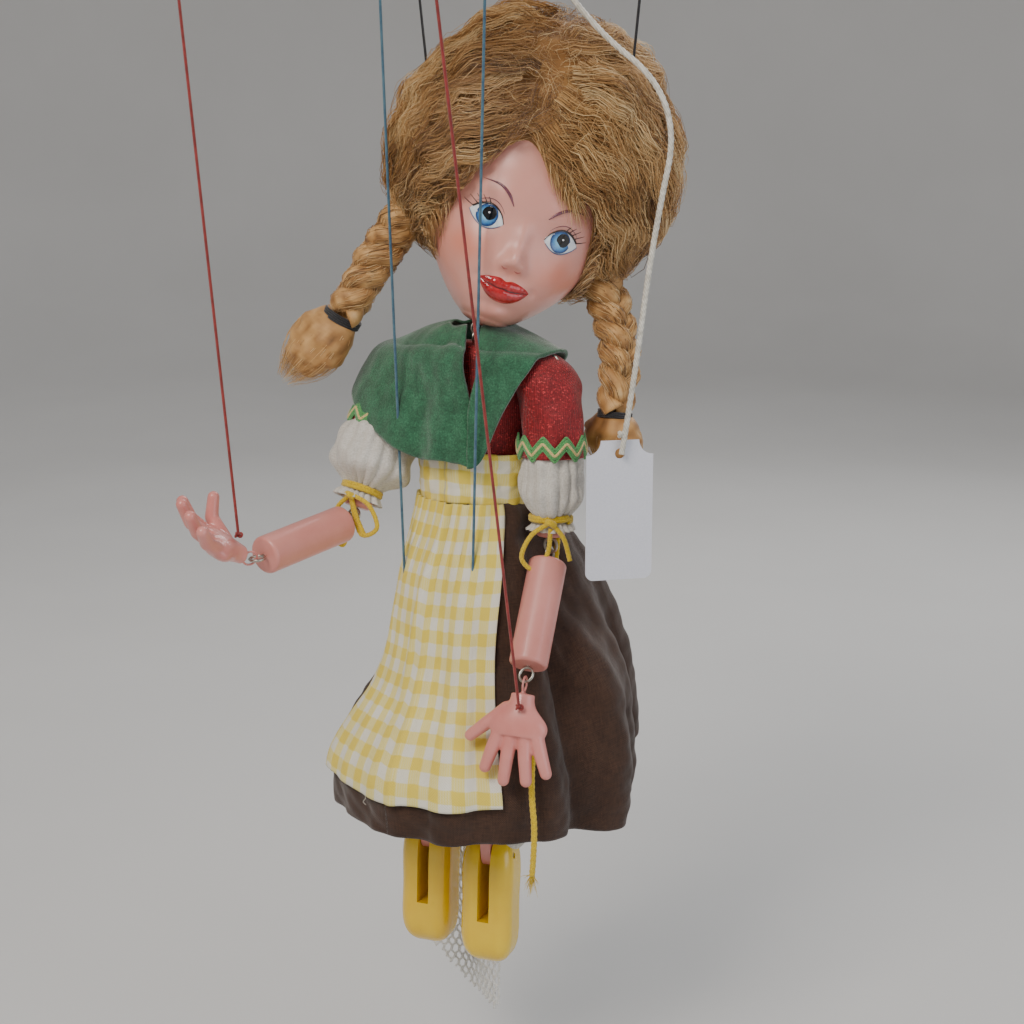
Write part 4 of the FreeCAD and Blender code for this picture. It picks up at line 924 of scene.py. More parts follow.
def outline_patch(name, face, centre, edge, lift, crown, material, rings=14, shade=False):
    """A painted patch from its centre out to an edge of (x, z) points, `crown` proud in its middle."""
    edge = np.asarray(edge, float)
    count = len(edge)
    points, tones = [], []
    for r in np.linspace(0.02, 1, rings):
        for x, z in centre + (edge - centre) * r:
            points.append(face.at(x, z, lift + crown * (1 - r ** 2)))
            tones.append(r)
    for x, z in edge:
        points.append(face.at(x, z, -0.25))
        tones.append(1)
    rows = rings + 1
    quads = grid_quads(rows, count, True)
    points.append(face.at(centre[0], centre[1], lift + crown))
    tones.append(0)
    hub = rows * count
    around = np.arange(count)
    tris = np.stack([np.full(count, hub), around, (around + 1) % count], 1)
    obj = raw_mesh(name, to_head(points), quads, tris, shade=tones if shade else None)
    return finish_piece(obj, material, "head")


def stroke(name, face, line, widths, lift, material, sides=8):
    """A brushed line on the face: a low rounded ridge of paint."""
    line = curve_points([(x, 0, z) for x, z in line], 40)
    path = np.array([face.at(x, z, lift) for x, _, z in line])
    width = np.interp(np.linspace(0, 1, 40), np.linspace(0, 1, len(widths)), widths)
    rings = tube_rings(path, 1.0, sides)
    rings = path[:, None] + (rings - path[:, None]) * width[:, None, None]
    return finish_piece(loft(name, to_head(rings)), material, "head")


def eye_edge(k, grow=0.0):
    """Almond outline of an eye, from its inner corner over the top lid and back, as (x, z)."""
    inner, outer = 6.5, 17.4
    t = np.linspace(0, 1, 30)
    x = inner - grow + (outer - inner + 2 * grow) * t
    slope = -12.9 + 1.5 * t
    arch = np.sin(math.pi * t ** 0.9) ** 0.75
    top = slope + (4.0 + grow) * arch
    bottom = slope - (3.3 + grow) * np.sin(math.pi * t) ** 0.8
    upper = np.stack([x, top], 1)
    lower = np.stack([x, bottom], 1)[::-1]
    loop = np.vstack([upper, lower[1:-1]])
    return loop * vec(k, 1), upper * vec(k, 1), lower * vec(k, 1)


def clipped_disc(centre, radius, edge, count=64):
    """A disc's outline cut off where it would leave the eye."""
    tall = vec(1, 1.06)
    angles = np.linspace(0, 2 * math.pi, count, endpoint=False)
    upper = edge[np.argsort(edge[:, 0])]
    points = []
    for t in angles:
        direction = vec(math.cos(t), math.sin(t)) * tall
        r = radius
        while r > 0.2:
            x, z = centre + direction * r
            top = max((p[1] for p in upper if abs(p[0] - x) < 0.5), default=-99)
            low = min((p[1] for p in upper if abs(p[0] - x) < 0.5), default=99)
            if low < z < top:
                break
            r -= 0.06
        points.append(centre + direction * r)
    return np.array(points)


def eyes(face):
    for side, k in SIDES:
        edge, upper, lower = eye_edge(k)
        middle = edge.mean(0)
        outline_patch(f"eye_white_{side}", face, middle, edge, 0.08, 0.55, SCLERA)
        iris_at = middle + vec(-0.45 if k > 0 else 0.1, 0.1)
        iris_edge = clipped_disc(iris_at, 3.25, edge)
        outline_patch(f"iris_{side}", face, iris_at, iris_edge, 0.42, 0.32, IRIS, shade=True)
        pupil_at = iris_at + vec(0.55, 0.75)
        pupil_edge = clipped_disc(pupil_at, 2.05, edge)
        outline_patch(f"pupil_{side}", face, pupil_at, pupil_edge, 0.68, 0.14, PUPIL)
        # A white dot on each pupil is a painted highlight.
        highlight_at = pupil_at + vec(-0.1, 0.35)
        highlight_angle = np.linspace(0, 6, 20)
        highlight_edge = highlight_at + 0.33 * np.stack([np.cos(highlight_angle), np.sin(highlight_angle)], 1)
        outline_patch(f"eye_spark_{side}", face, highlight_at, highlight_edge, 0.84, 0.03, PAINTED_HIGHLIGHT, 4)
        stroke(f"lid_line_{side}", face, upper[::3], (0.1, 0.2, 0.3, 0.32, 0.3), 0.2, LASH)
        stroke(f"lower_line_{side}", face, lower[::3], (0.1, 0.17, 0.17, 0.1), 0.15, EYE_LINE)
        crease = upper[2:-1:3] + vec(0, 1.35)
        stroke(f"lid_crease_{side}", face, crease, (0.04, 0.12, 0.13, 0.04), 0.02, BROW)
        lashes = []
        for i, (start, reach) in enumerate(((0.52, 1.5), (0.64, 2.1), (0.75, 2.6), (0.86, 2.9), (0.95, 2.8))):
            base = upper[int(start * (len(upper) - 1))]
            lean = vec(k * (0.55 + 0.12 * i), 0.95 - 0.13 * i)
            bend = vec(k * 0.35, 0.3)
            line = [base, base + lean * reach * 0.5, base + lean * reach + bend]
            lashes.append(stroke(f"lash_{side}_{i}", face, line, (0.17, 0.12, 0.04), 0.12, LASH))
        brow_line = [(k * 5.6, -6.9), (k * 8.2, -3.9), (k * 11.6, -2.0), (k * 16.6, -1.7)]
        stroke(f"brow_{side}", face, brow_line, (0.12, 0.5, 0.46, 0.26, 0.05), 0.02, BROW)


def lips(face):
    """Upper and lower lip, each a filled patch between the mouth's line and its outer edge."""
    u = np.linspace(-1, 1, 49)
    x = 7.9 * u
    line = -29.7 - 1.5 * (1 - u ** 2) + 0.25 * bump(u, 0, 0.16)
    upper = -29.6 + 1.75 * (1 - u ** 2) ** 0.7 * (1 - 0.42 * bump(u, 0, 0.16))
    lower = -29.8 - 5.3 * (1 - np.abs(u) ** 2.2) ** 0.85
    for name, outer, fullness in (("upper_lip", upper, 0.55), ("lower_lip", lower, 0.95)):
        rows = []
        across = np.linspace(0, 1, 12)
        for v in across:
            z = line + (outer - line) * v
            swell = fullness * math.sin(math.pi * min(v * 1.05, 1)) ** 0.8 * (1 - np.abs(u) ** 2.4)
            fine = 0.05 * np.cos(x * 4.2) * math.sin(math.pi * v)
            rows.append([face.at(a, b, 0.08 + s + f) for a, b, s, f in zip(x, z, swell, fine)])
        rows.append([face.at(a, b, -0.3) for a, b in zip(x, outer)])
        rows.insert(0, [face.at(a, b, -0.5) for a, b in zip(x, line)])
        quads = grid_quads(len(rows), len(u))
        if name == "upper_lip":
            quads = quads[:, ::-1]
        piece = raw_mesh(name, to_head(np.array(rows).reshape(-1, 3)), quads)
        finish_piece(piece, LIP, "head")
    stroke("mouth_line", face, list(zip(x[::4], line[::4])), (0.05, 0.22, 0.26, 0.22, 0.05), 0.06,
           glossy("Mouth line", ("#3A0608", "#5A0C10"), 0.35))
    nostril_paint = painted("Nostril shadow", ("#B0645A", "#BA6E62"), 0.5)
    for side, k in SIDES:
        stroke(f"nostril_{side}", face, [(k * 1.1, -24.9), (k * 2.2, -25.0), (k * 3.1, -24.6)],
               (0.1, 0.32, 0.1), -0.02, nostril_paint)


def neck_points():
    """The neck under the head, from inside the jaw down to its screw eye."""
    eye_reach = 5
    low = vec(0, NECK_BACK, eye_reach - NECK_DROP)
    heights = np.array([low[2], low[2] + 0.8, low[2] + 4, low[2] + 9, low[2] + 18])
    radii = np.array([5.2, NECK_RADIUS, NECK_RADIUS, NECK_RADIUS + 0.4, NECK_RADIUS + 2])
    angle = np.linspace(0, 2 * math.pi, 48, endpoint=False)
    rings = [[(r * math.sin(t), NECK_BACK + r * math.cos(t) * -1, z) for t in angle]
             for z, r in zip(heights, radii)]
    return np.array(rings) @ HEAD_ROTATION.T + HEAD_CENTRE


def head():
    points, blush_and_nose_shadow = head_mesh()
    skull = loft("head_shell", to_head(points)[::-1], shade=blush_and_nose_shadow[::-1])
    neck = loft("neck", neck_points(), shade=np.zeros((5, 48)))
    whole = join_meshes("head_moulding", [skull, neck])
    finish_piece(whole, SKIN, "head", ["head"])
    face = Face(points)
    eyes(face)
    lips(face)
    return face


# ---------------------------------------------------------------- hair

WIG_CENTRE = vec(0, 8, 9)
WIG_HALF = vec(43, 36, 47)
WIG_LOW = 37
HAIR_CORE = vec(0, 6, -8)
HAIR_POLE = unit(vec(0, 0.75, 0.6))
PARTING = -8
HAIRLINE = [(-22, -22), (-21.5, -9), (-18, 2), (-11, 11.5), (-6.5, 12.5), (1, 6.5), (8.5, 0.6), (13, 2.2),
            (17.5, 0.5), (20.5, -5), (22.5, -14), (23, -23)]
NAPE = [(22, 5, -27), (13, 15, -31), (0, 18, -32), (-13, 15, -31), (-22, 5, -27)]


def wig_radius(direction, seed=3):
    """Distance from the wig's middle to its lumpy surface, along each unit direction."""
    d = np.asarray(direction, float)
    half_z = np.where(d[..., 2] > 0, WIG_HALF[2], WIG_LOW)
    x, y, z = d[..., 0] / WIG_HALF[0], d[..., 1] / WIG_HALF[1], d[..., 2] / half_z
    r = 1 / np.sqrt(x ** 2 + y ** 2 + z ** 2)
    return r * (1 + 0.035 * ripple(d * 40, 26, seed) + 0.02 * ripple(d * 40, 11, seed + 1))


def wig_edge(face, count):
    """The wig's lower edge in the face's frame: along the hairline, and round the nape."""
    front = np.array([face.at(x, z, 0.4) for x, z in HAIRLINE])
    loop = np.vstack([front, np.array(NAPE, float), front[:1]])
    return curve_points(loop, count + 1)[:-1]


def wig_base(face):
    """The wig's dense body under its locks, in a darker tone than the locks as painted shade under them."""
    edge = wig_edge(face, 132)
    first = unit(edge - HAIR_CORE)
    near = np.linalg.norm(edge - HAIR_CORE, axis=1)
    rings = []
    for t in np.linspace(0, 1, 60) ** 1.5:
        toward = unit(first * (1 - t) + HAIR_POLE * t * 1.3)
        reach = near.copy()
        for _ in range(12):
            out = HAIR_CORE + toward * reach[:, None] - WIG_CENTRE
            reach += wig_radius(unit(out)) * 0.94 - np.linalg.norm(out, axis=1)
        rise = smooth(t, 0.0, 0.06)
        rings.append(HAIR_CORE + toward * (near * (1 - rise) + reach * rise)[:, None])
    rings[0] = edge - unit(edge) * 1.2
    # The low tone here is painted shade under the locks.
    tone = np.repeat(0.30 + 0.12 * ripple(np.array(rings), 9, 8).ravel(), 1)
    return finish_piece(loft("wig_body", to_head(np.array(rings))[::-1], shade=tone.reshape(60, 132)[::-1]),
                        MOHAIR, "head", ["wig"])


def in_opening(points):
    """Which points lie inside the hairline, seen from the front of the face."""
    x, z = points[..., 0], points[..., 2]
    inside = np.zeros(x.shape, bool)
    outline = HAIRLINE + [(20, -45), (-20, -45)]
    for (ax, az), (bx, bz) in zip(outline, outline[1:] + outline[:1]):
        crosses = (az > z) != (bz > z)
        inside ^= crosses & (x < (bx - ax) * (z - az) / (bz - az + 1e-9) + ax)
    return inside & (points[..., 1] < -2)


def comb(points):
    """Direction in which the hair lies at each place: away from the parting, then down and back."""
    out = unit(points - WIG_CENTRE)
    aside = np.tanh((points[..., 0] - PARTING) / 13)
    wide = np.abs(points[..., 0]) / 40
    ahead = smooth(-points[..., 1], -12, 14)
    flow = np.stack([aside * (0.55 + 0.75 * ahead), 0.5 - 0.1 * ahead, 0.25 - (0.4 + 1.2 * wide)], -1)
    flow = flow - out * np.sum(flow * out, -1, keepdims=True)
    return unit(flow), out


def lock_guides(count, steps, stride, random):
    """Guide lines of locks over the wig, each with its own wave and height."""
    n = np.arange(count) + 0.5
    lift = np.arccos(1 - 1.72 * n / count)
    spin = math.pi * (1 + 5 ** 0.5) * n
    direction = np.stack([np.cos(spin) * np.sin(lift), np.sin(spin) * np.sin(lift), np.cos(lift)], 1)
    direction = unit(direction + random.normal(size=direction.shape) * 0.05)
    p = WIG_CENTRE + direction * wig_radius(direction)[:, None]
    wave = random.uniform(0, 6.28, count)
    pitch = random.uniform(11, 19, count)
    height = random.uniform(-0.8, 3.2, count)
    lines = []
    for step in range(steps):
        flow, out = comb(p)
        across = np.cross(flow, out)
        sway = 0.42 * np.sin(wave + step * stride * 2 * math.pi / pitch)
        flow = unit(flow + across * (sway + random.normal(size=count) * 0.08)[:, None])
        t = step / (steps - 1)
        puff = height * math.sin(math.pi * min(t * 1.15, 1)) + 0.5 * np.sin(wave * 2 + step * 0.9)
        lines.append(p + out * puff[:, None])
        p = p + flow * stride
        d = unit(p - WIG_CENTRE)
        p = WIG_CENTRE + d * wig_radius(d)[:, None]
    return np.stack(lines, 1), direction


def lock_strands(guides, normals, per_lock, width, frizz, random):
    """Hairs of each lock: spread at the root, gathered at the tip, with a little frizz."""
    count, steps, _ = guides.shape
    tangent = unit(np.gradient(guides, axis=1))
    across = unit(np.cross(tangent, normals[:, None]))
    t = np.linspace(0, 1, steps)[None, None, :, None]
    a = random.normal(size=(count, per_lock, 1, 1)) * width
    b = random.normal(size=(count, per_lock, 1, 1)) * width * 0.4
    gather = 1 - 0.62 * smooth(t, 0.1, 1.0)
    phase = random.uniform(0, 6.28, (count, per_lock, 1, 3))
    speed = random.uniform(5, 13, (count, per_lock, 1, 3))
    curl = np.sin(phase + speed * t) * frizz * (0.4 + t)
    lines = (guides[:, None] + across[:, None] * a * gather
             + normals[:, None, None] * (np.abs(b) * gather) + curl)
    return lines.reshape(-1, steps, 3)


def wig_locks():
    random = np.random.default_rng(11)
    layers = ((380, 14, 2.8, 34, 2.4, 0.40), (220, 11, 2.6, 20, 3.4, 0.85))
    made = []
    for i, (count, steps, stride, per_lock, width, frizz) in enumerate(layers):
        guides, normals = lock_guides(count, steps, stride, random)
        lines = lock_strands(guides, normals, per_lock, width, frizz, random)
        tone = np.repeat(random.uniform(0.12, 0.85, count), per_lock) + random.normal(size=len(lines)) * 0.13
        keep = (in_opening(lines).mean(1) < 0.05) & (lines[..., 2].min(1) > -33)
        outward = unit(lines - WIG_CENTRE)
        radius = random.uniform(0.07, 0.13, len(lines))
        made.append(strands(f"wig_locks_{i}", to_head(lines[keep]), radius[keep], tone[keep],
                            outward[keep] @ FACE_ROTATION.T))
    made.append(fluff(random))
    finish_piece(join_meshes("wig_locks", made), MOHAIR, "head")


def fluff(random, count=5200, steps=9):
    """Short stray hairs that stand a little off the wig in every direction."""
    direction = unit(random.normal(size=(count, 3)))
    direction = direction[direction[:, 2] > -0.72]
    depth = wig_radius(direction) * random.uniform(0.93, 1.0, len(direction))
    root = WIG_CENTRE + direction * depth[:, None]
    aside = unit(np.cross(direction, random.normal(size=direction.shape)))
    t = np.linspace(0, 1, steps)[None, :, None]
    reach = random.uniform(6, 16, len(root))[:, None, None]
    rise = random.uniform(0.5, 3.6, len(root))[:, None, None] * np.sin(math.pi * t)
    phase = random.uniform(0, 6.28, (len(root), 1, 3))
    curl = np.sin(phase + random.uniform(4, 12, (len(root), 1, 3)) * t) * 0.8
    drop = direction[:, None] * (t * reach) ** 2 / 90
    lines = root[:, None] + aside[:, None] * t * reach + direction[:, None] * rise - drop + curl
    lines = lines[(in_opening(lines).mean(1) < 0.05) & (lines[..., 2].min(1) > -33)]
    tone = random.uniform(0.2, 0.95, len(lines))
    return strands("wig_fluff", to_head(lines), random.uniform(0.06, 0.11, len(lines)), tone,
                   unit(lines - WIG_CENTRE) @ FACE_ROTATION.T)


def fringe(face):
    """Short hairs that fall from the hairline over the forehead and the temples."""
    random = np.random.default_rng(17)
    outline = curve_points([(x, 0, z) for x, z in HAIRLINE], 420)
    lines = []
    for _ in range(1500):
        k = random.integers(8, 412)
        x, _, z = outline[k]
        slope = unit(outline[k + 6] - outline[k - 6])
        inward = vec(-x * 0.03, 0, -1.0) if abs(x) < 15 else vec(-np.sign(x) * 0.5, 0, -0.8)
        side = 1 if x > PARTING else -1
        run = unit(inward * random.uniform(0.0, 0.4) + slope * side * random.uniform(0.7, 1.2))
        out = vec(x, 0, z + 6)
        root = vec(x, 0, z) + unit(out) * random.uniform(0.4, 5.5)
        reach = random.uniform(5, 13)
        bend = random.normal() * 1.0
        line = []
        for t in np.linspace(0, 1, 8):
            place = root + run * reach * t + unit(out) * (bend * t * (1 - t) * 2 - 0.6 * t)
            lift = 3.6 * (1 - t) ** 1.3 * random.uniform(0.85, 1.0) + 0.5
            line.append(face.at(place[0], place[2], lift))
        lines.append(line)
    lines = np.array(lines)
    tone = random.uniform(0.15, 0.9, len(lines))
    piece = strands("wig_fringe", to_head(lines), random.uniform(0.08, 0.14, len(lines)), tone,
                    unit(lines) @ FACE_ROTATION.T)
    finish_piece(piece, MOHAIR, "head")


BRAID_ROUTE = {
    "left": [(19, 14, -28), (22.5, 15, -37), (26, 13.5, -46), (28, 11, -56), (28, 9, -67)],
    "right": [(-33, -16, -3), (-38, -19, -12), (-42, -23, -20), (-46, -27, -29), (-50.5, -30, -38)],
}
BRAID_RADIUS = {"left": 7.6, "right": 9.0}
TASSEL_REACH = {"left": vec(-1.5, 0.5, -17), "right": vec(-14.5, -8.5, -17.5)}


def plait(side):
    """Three fat locks woven over and under each other along the braid."""
    random = np.random.default_rng(23)
    radius = BRAID_RADIUS[side]
    route = HEAD_CENTRE + np.array(BRAID_ROUTE[side], float)
    route[0] += unit(route[0] - route[1]) * 5
    centre, _ = even_path(curve_points(route, 160), 0.5)
    _, across, up = frames_along(centre)
    s = np.arange(len(centre)) * 0.5
    pitch = 23.0
    taper = 1 - 0.16 * s / s[-1]
    pieces, hairs, tones = [], [], []
    for j in range(3):
        phase = 2 * math.pi * (s / pitch + j / 3)
        sway = (radius * 0.50 * np.sin(phase) * taper)[:, None] * across
        over = (radius * 0.30 * np.sin(2 * phase) * taper)[:, None] * up
        path = centre + sway + over
        thick = radius * 0.50 * taper * (1 + 0.06 * ripple(path, 6, 30 + j))
        rings = tube_rings(path, 1.0, 20)
        rings = path[:, None] + (rings - path[:, None]) * thick[:, None, None]
        tone = 0.42 + 0.2 * ripple(rings, 5, 40 + j)
        pieces.append(loft(f"plait_{side}_{j}", rings, shade=tone))
        _, n1, n2 = frames_along(path)
        for _ in range(230):
            start = random.integers(0, len(path) - 24)
            stop = min(len(path) - 1, start + random.integers(18, 46))
            index = np.linspace(start, stop, 9).astype(int)
            a = random.uniform(0, 6.28) + np.linspace(0, random.normal() * 0.5, 9)
            r = thick[index] * (1.0 + 0.10 * np.abs(np.sin(np.linspace(0, 3.1, 9) + random.uniform(0, 1))))
            round_lock = np.cos(a)[:, None] * n1[index] + np.sin(a)[:, None] * n2[index]
            hairs.append(path[index] + r[:, None] * round_lock)
            tones.append(np.clip(0.5 + random.normal() * 0.25, 0.05, 1))
    hairs = np.array(hairs)
    outward = unit(hairs - hairs.mean(1, keepdims=True) + random.normal(size=hairs.shape) * 0.1 + up[0])
    width = random.uniform(0.09, 0.15, len(hairs))
    pieces.append(strands(f"plait_hairs_{side}", hairs, width, tones, outward))
    return pieces, centre


def tassel(side, end, along):
    """The loose end of a braid: a soft fan of hair below its tie."""
    random = np.random.default_rng(29)
    reach = TASSEL_REACH[side]
    forward = unit(reach)
    across = unit(np.cross(forward, vec(0.3, 1, 0.1)))
    depth = np.cross(forward, across)
    rings = []
    angle = np.linspace(0, 2 * math.pi, 40, endpoint=False)
    for t in np.linspace(0, 1, 20):
        wide = 3.0 + 8.0 * math.sin(math.pi * min(1, 0.12 + t * 0.86)) ** 0.8
        thick = 2.8 + 4.6 * math.sin(math.pi * min(1, 0.12 + t * 0.86)) ** 0.8
        if t == 1:
            wide, thick = 1.0, 0.8
        middle = end + along * 1.5 * (1 - t) + reach * t
        ring = middle + wide * np.cos(angle)[:, None] * across + thick * np.sin(angle)[:, None] * depth
        rings.append(ring + 0.7 * ripple(ring, 6, 50)[:, None] * unit(ring - middle) * min(1, t * 3))
    rings = np.array(rings)
    # The body inside the fan gets a lower tone than its hairs: painted shade.
    body = loft(f"tassel_body_{side}", rings, shade=0.36 + 0.15 * ripple(rings, 4, 51))
    lines, tones = [], []
    for _ in range(760):
        a = random.uniform(0, 6.28)
        out = math.sqrt(random.random())
        lean = across * math.cos(a) * out + depth * math.sin(a) * out * 0.62
        t = np.linspace(0, 1, 9)[:, None]
        stop = random.uniform(0.7, 1.22)
        swell = np.sin(math.pi * np.clip(0.1 + t * 0.8, 0, 1)) ** 0.8
        wave = np.sin(random.uniform(0, 6.28, 3) + t * random.uniform(4, 11, 3)) * 0.45
        lines.append(end + along * 1.5 * (1 - t) + lean * 2.6 * (1 - t) + reach * t * stop
                     + lean * 9.2 * swell * stop + wave * t)
        tones.append(np.clip(0.58 + random.normal() * 0.2, 0.05, 1))
    lines = np.array(lines)
    outward = unit(lines - (end + reach * 0.5) + 0.01)
    hairs = strands(f"tassel_hairs_{side}", lines, random.uniform(0.09, 0.15, len(lines)), tones, outward)
    return [body, hairs]


def braid(side):
    pieces, centre = plait(side)
    end = centre[-1]
    along = unit(centre[-1] - centre[-5])
    ends = tassel(side, end, along)
    whole = join_meshes(f"braid_hair_{side}", pieces + ends)
    finish_piece(whole, MOHAIR, f"braid_{side}", [f"braid_{side}"])
    _, across, up = frames_along(np.array([end - along, end, end + along]))
    radius = BRAID_RADIUS[side] * 0.62 + 0.5
    turns = np.linspace(0, 2 * math.pi * 3.6, 150)
    coil = (end + along * 1.4 + along * (turns / turns[-1] - 0.5)[:, None] * 2.4
            + radius * (np.cos(turns)[:, None] * across[1] + np.sin(turns)[:, None] * up[1]))
    band = loft(f"braid_band_{side}", tube_rings(coil, 0.42, 8))
    finish_piece(band, BLACK_THREAD, f"braid_{side}", [f"braid_tie_{side}"])


# ---------------------------------------------------------------- body and arms

# Height, half width and half depth of the body under the bodice.
BODY_SECTIONS = [(-235, 15.6, 12.6), (-216, 16.4, 13.2), (-198, 17.6, 12.2), (-190, 13.5, 9.5),
                 (-186, 9.5, 7.5)]
CLOTH = 1.5
WAIST_TOP = -219
WAIST_LOW = -235


def around(count, first=0.0, last=360.0, closed=True):
    """Angles in radians from the front (-Y) towards the body's left (+X)."""
    return np.radians(np.linspace(first, last, count, endpoint=not closed))


def oval_point(phi, x, y):
    return np.stack([x * np.sin(phi), -y * np.cos(phi)], -1)


def bodice():
    """Red bodice over the chest, pulled into small creases at the waist and the armholes."""
    phi = around(160)
    sections = np.array(BODY_SECTIONS)
    heights = np.linspace(sections[0, 0] - 1, sections[-1, 0], 60)
    rings = []
    for z in heights:
        x = profile(sections[:, [0, 1]], z) + CLOTH
        y = profile(sections[:, [0, 2]], z) + CLOTH
        flat = oval_point(phi, x, y)
        rings.append(np.column_stack([flat, np.full(len(phi), z)]))
    rings = np.array(rings)
    outward = unit(rings * vec(1, 1, 0))
    creases = 0.45 * ripple(rings * vec(1, 1, 0.35), 6, 61) + 0.3 * ripple(rings * vec(0.5, 0.5, 1.3), 8, 62)
    rings = rings + outward * creases[..., None]
    finish_piece(loft("bodice_cloth", rings), RED_CLOTH, "torso", ["bodice"])


COLLAR_LENGTH = [(-180, 19), (-150, 24), (-120, 29), (-90, 33), (-60, 37), (-30, 41), (0, 41), (20, 42),
                 (42, 42), (55, 31), (70, 22), (90, 20), (120, 20), (150, 19), (180, 19)]
COLLAR_SLIT = 31
COLLAR_TOP = -180.6
COLLAR_NECK = 8.6
COLLAR_ROUNDING = 5.0
COLLAR_FLARE = 0.07
SHOULDER_HALF_WIDTH = 35.5
SHOULDER_HALF_DEPTH = 17.2
OVER_ARM = 9


def collar_point(phi, s):
    """A point on the cape, s mm from the neck's edge, at an angle round the body."""
    rim = 1 / math.hypot(math.cos(phi) / SHOULDER_HALF_DEPTH, math.sin(phi) / SHOULDER_HALF_WIDTH)
    reach = rim - COLLAR_NECK - COLLAR_ROUNDING
    droop = 5.5 + 2.0 * abs(math.sin(phi))
    if s < reach:
        return COLLAR_NECK + s, COLLAR_TOP - droop * (s / max(reach, 1)) ** 1.5
    arc = COLLAR_ROUNDING * math.pi / 2
    if s < reach + arc:
        a = (s - reach) / COLLAR_ROUNDING
        return (COLLAR_NECK + reach + COLLAR_ROUNDING * math.sin(a),
                COLLAR_TOP - droop - COLLAR_ROUNDING * (1 - math.cos(a)))
    down = s - reach - arc
    return rim + COLLAR_FLARE * down, COLLAR_TOP - droop - COLLAR_ROUNDING - down


def collar():
    """Askew cape of green felt with a slit at the throat and a long point on the chest."""
    angles = np.linspace(COLLAR_SLIT + 0.5, COLLAR_SLIT + 359.5, 220)
    lengths = profile(COLLAR_LENGTH, (angles + 180) % 360 - 180)
    rows = []
    for t in np.linspace(0, 1, 46):
        row = []
        for i, (degrees, length) in enumerate(zip(angles, lengths)):
            s = length * t
            near_slit = 1 - smooth(min(i, len(angles) - 1 - i), 0, 16)
            side = 1 if i < len(angles) / 2 else -1
            part = side * (2.1 * (1 - smooth(s, 12, 24)) - 0.8 * smooth(s, 20, 30)) * near_slit
            phi = math.radians(degrees)
            r, z = collar_point(phi, s)
            phi += part / max(r, 8)
            fold = 0.9 * math.sin(phi * 5 + 0.7) * smooth(s, 8, 34)
            fold += 0.55 * math.sin(phi * 11 + 2) * smooth(s, 14, 40)
            lift = 0.8 * near_slit * (side > 0) * smooth(s, 16, 26) + 1.0 * t ** 3
            outward = vec(math.sin(phi), -math.cos(phi), 0)
            over_arm = OVER_ARM * bump((degrees + 180) % 360 - 180, -70, 42) * smooth(s, 16, 38)
            row.append(outward * (r + fold + lift + over_arm) + vec(0, 0, z + 0.35 * math.sin(phi * 7)))
        rows.append(row)
    rows = np.array(rows)
    rows += 0.16 * ripple(rows, 5, 71)[..., None] * unit(rows * vec(1, 1, 0) + vec(0, 0, 3))
    piece = cloth_sheet("collar_felt", rows, 1.1)
    finish_piece(piece, FELT, "torso", ["collar"])


def arm_frame(side):
    """Shoulder, direction down the upper arm, and two directions across it (outwards and forwards)."""
    shoulder = JOINT[f"shoulder_{side}"]
    down = unit(JOINT[f"elbow_{side}"] - shoulder)
    outward = unit(vec(1 if side == "left" else -1, 0, 0) - down * down[0] * (1 if side == "left" else -1))
    return shoulder, down, outward, np.cross(down, outward) * (1 if side == "left" else -1)


def sleeve_rings(side, table, count, pleats=0, pleat_depth=None, lump=0.0, seed=0, inward=None):
    """Rings round the upper arm from (distance down, radius) pairs."""
    shoulder, down, outward, forward = arm_frame(side)
    distances = np.linspace(table[0][0], table[-1][0], count)
    phi = np.linspace(0, 2 * math.pi, 120, endpoint=False)
    rings = []
    for s in distances:
        r = profile(table, s) * np.ones_like(phi)
        if pleats:
            depth = profile(pleat_depth, s)
            r = r + depth * (np.abs(np.sin(pleats / 2 * phi + 0.6 * np.sin(3 * phi))) ** 0.8 - 0.6)
        middle = shoulder + down * s
        if inward is not None:
            middle = middle - outward * profile(inward, s)
        ring = middle + r[:, None] * (np.cos(phi)[:, None] * outward + np.sin(phi)[:, None] * forward)
        rings.append(ring)
    rings = np.array(rings)
    middles = rings.mean(1, keepdims=True)
    return rings + lump * ripple(rings, 9, seed)[..., None] * unit(rings - middles)


def zigzag(side, centre_s, radius):
    """Rick-rack braid: a wavy green band with a cream gold edge on each side."""
    shoulder, down, outward, forward = arm_frame(side)
    phi = np.linspace(0, 2 * math.pi, 361)
    pieces = {"green": [], "cream": []}
    lines = (("green", -0.75, 0.62, 0.35), ("green", 0.75, 0.62, 0.35), ("cream", 0, 0.5, 0.7),
             ("green", 1.9, 0.42, 0.3), ("green", -1.9, 0.42, 0.3))
    for name, shift, wire, proud in lines:
        wave = np.arcsin(0.96 * np.sin(9 * phi)) / 1.35
        s = centre_s + 1.9 * wave + shift
        r = radius + proud
        path = (shoulder + down * s[:, None]
                + r * (np.cos(phi)[:, None] * outward + np.sin(phi)[:, None] * forward))
        pieces[name].append(loft(f"rick_{name}", tube_rings(path, wire, 8)))
    body = f"upper_arm_{side}"
    green = join_meshes(f"rick_rack_{side}", pieces["green"])
    finish_piece(green, TRIM_GREEN, body, [f"zigzag_trim_{side}"])
    cream = join_meshes(f"rick_rack_edge_{side}", pieces["cream"])
    finish_piece(cream, TRIM_CREAM, body)


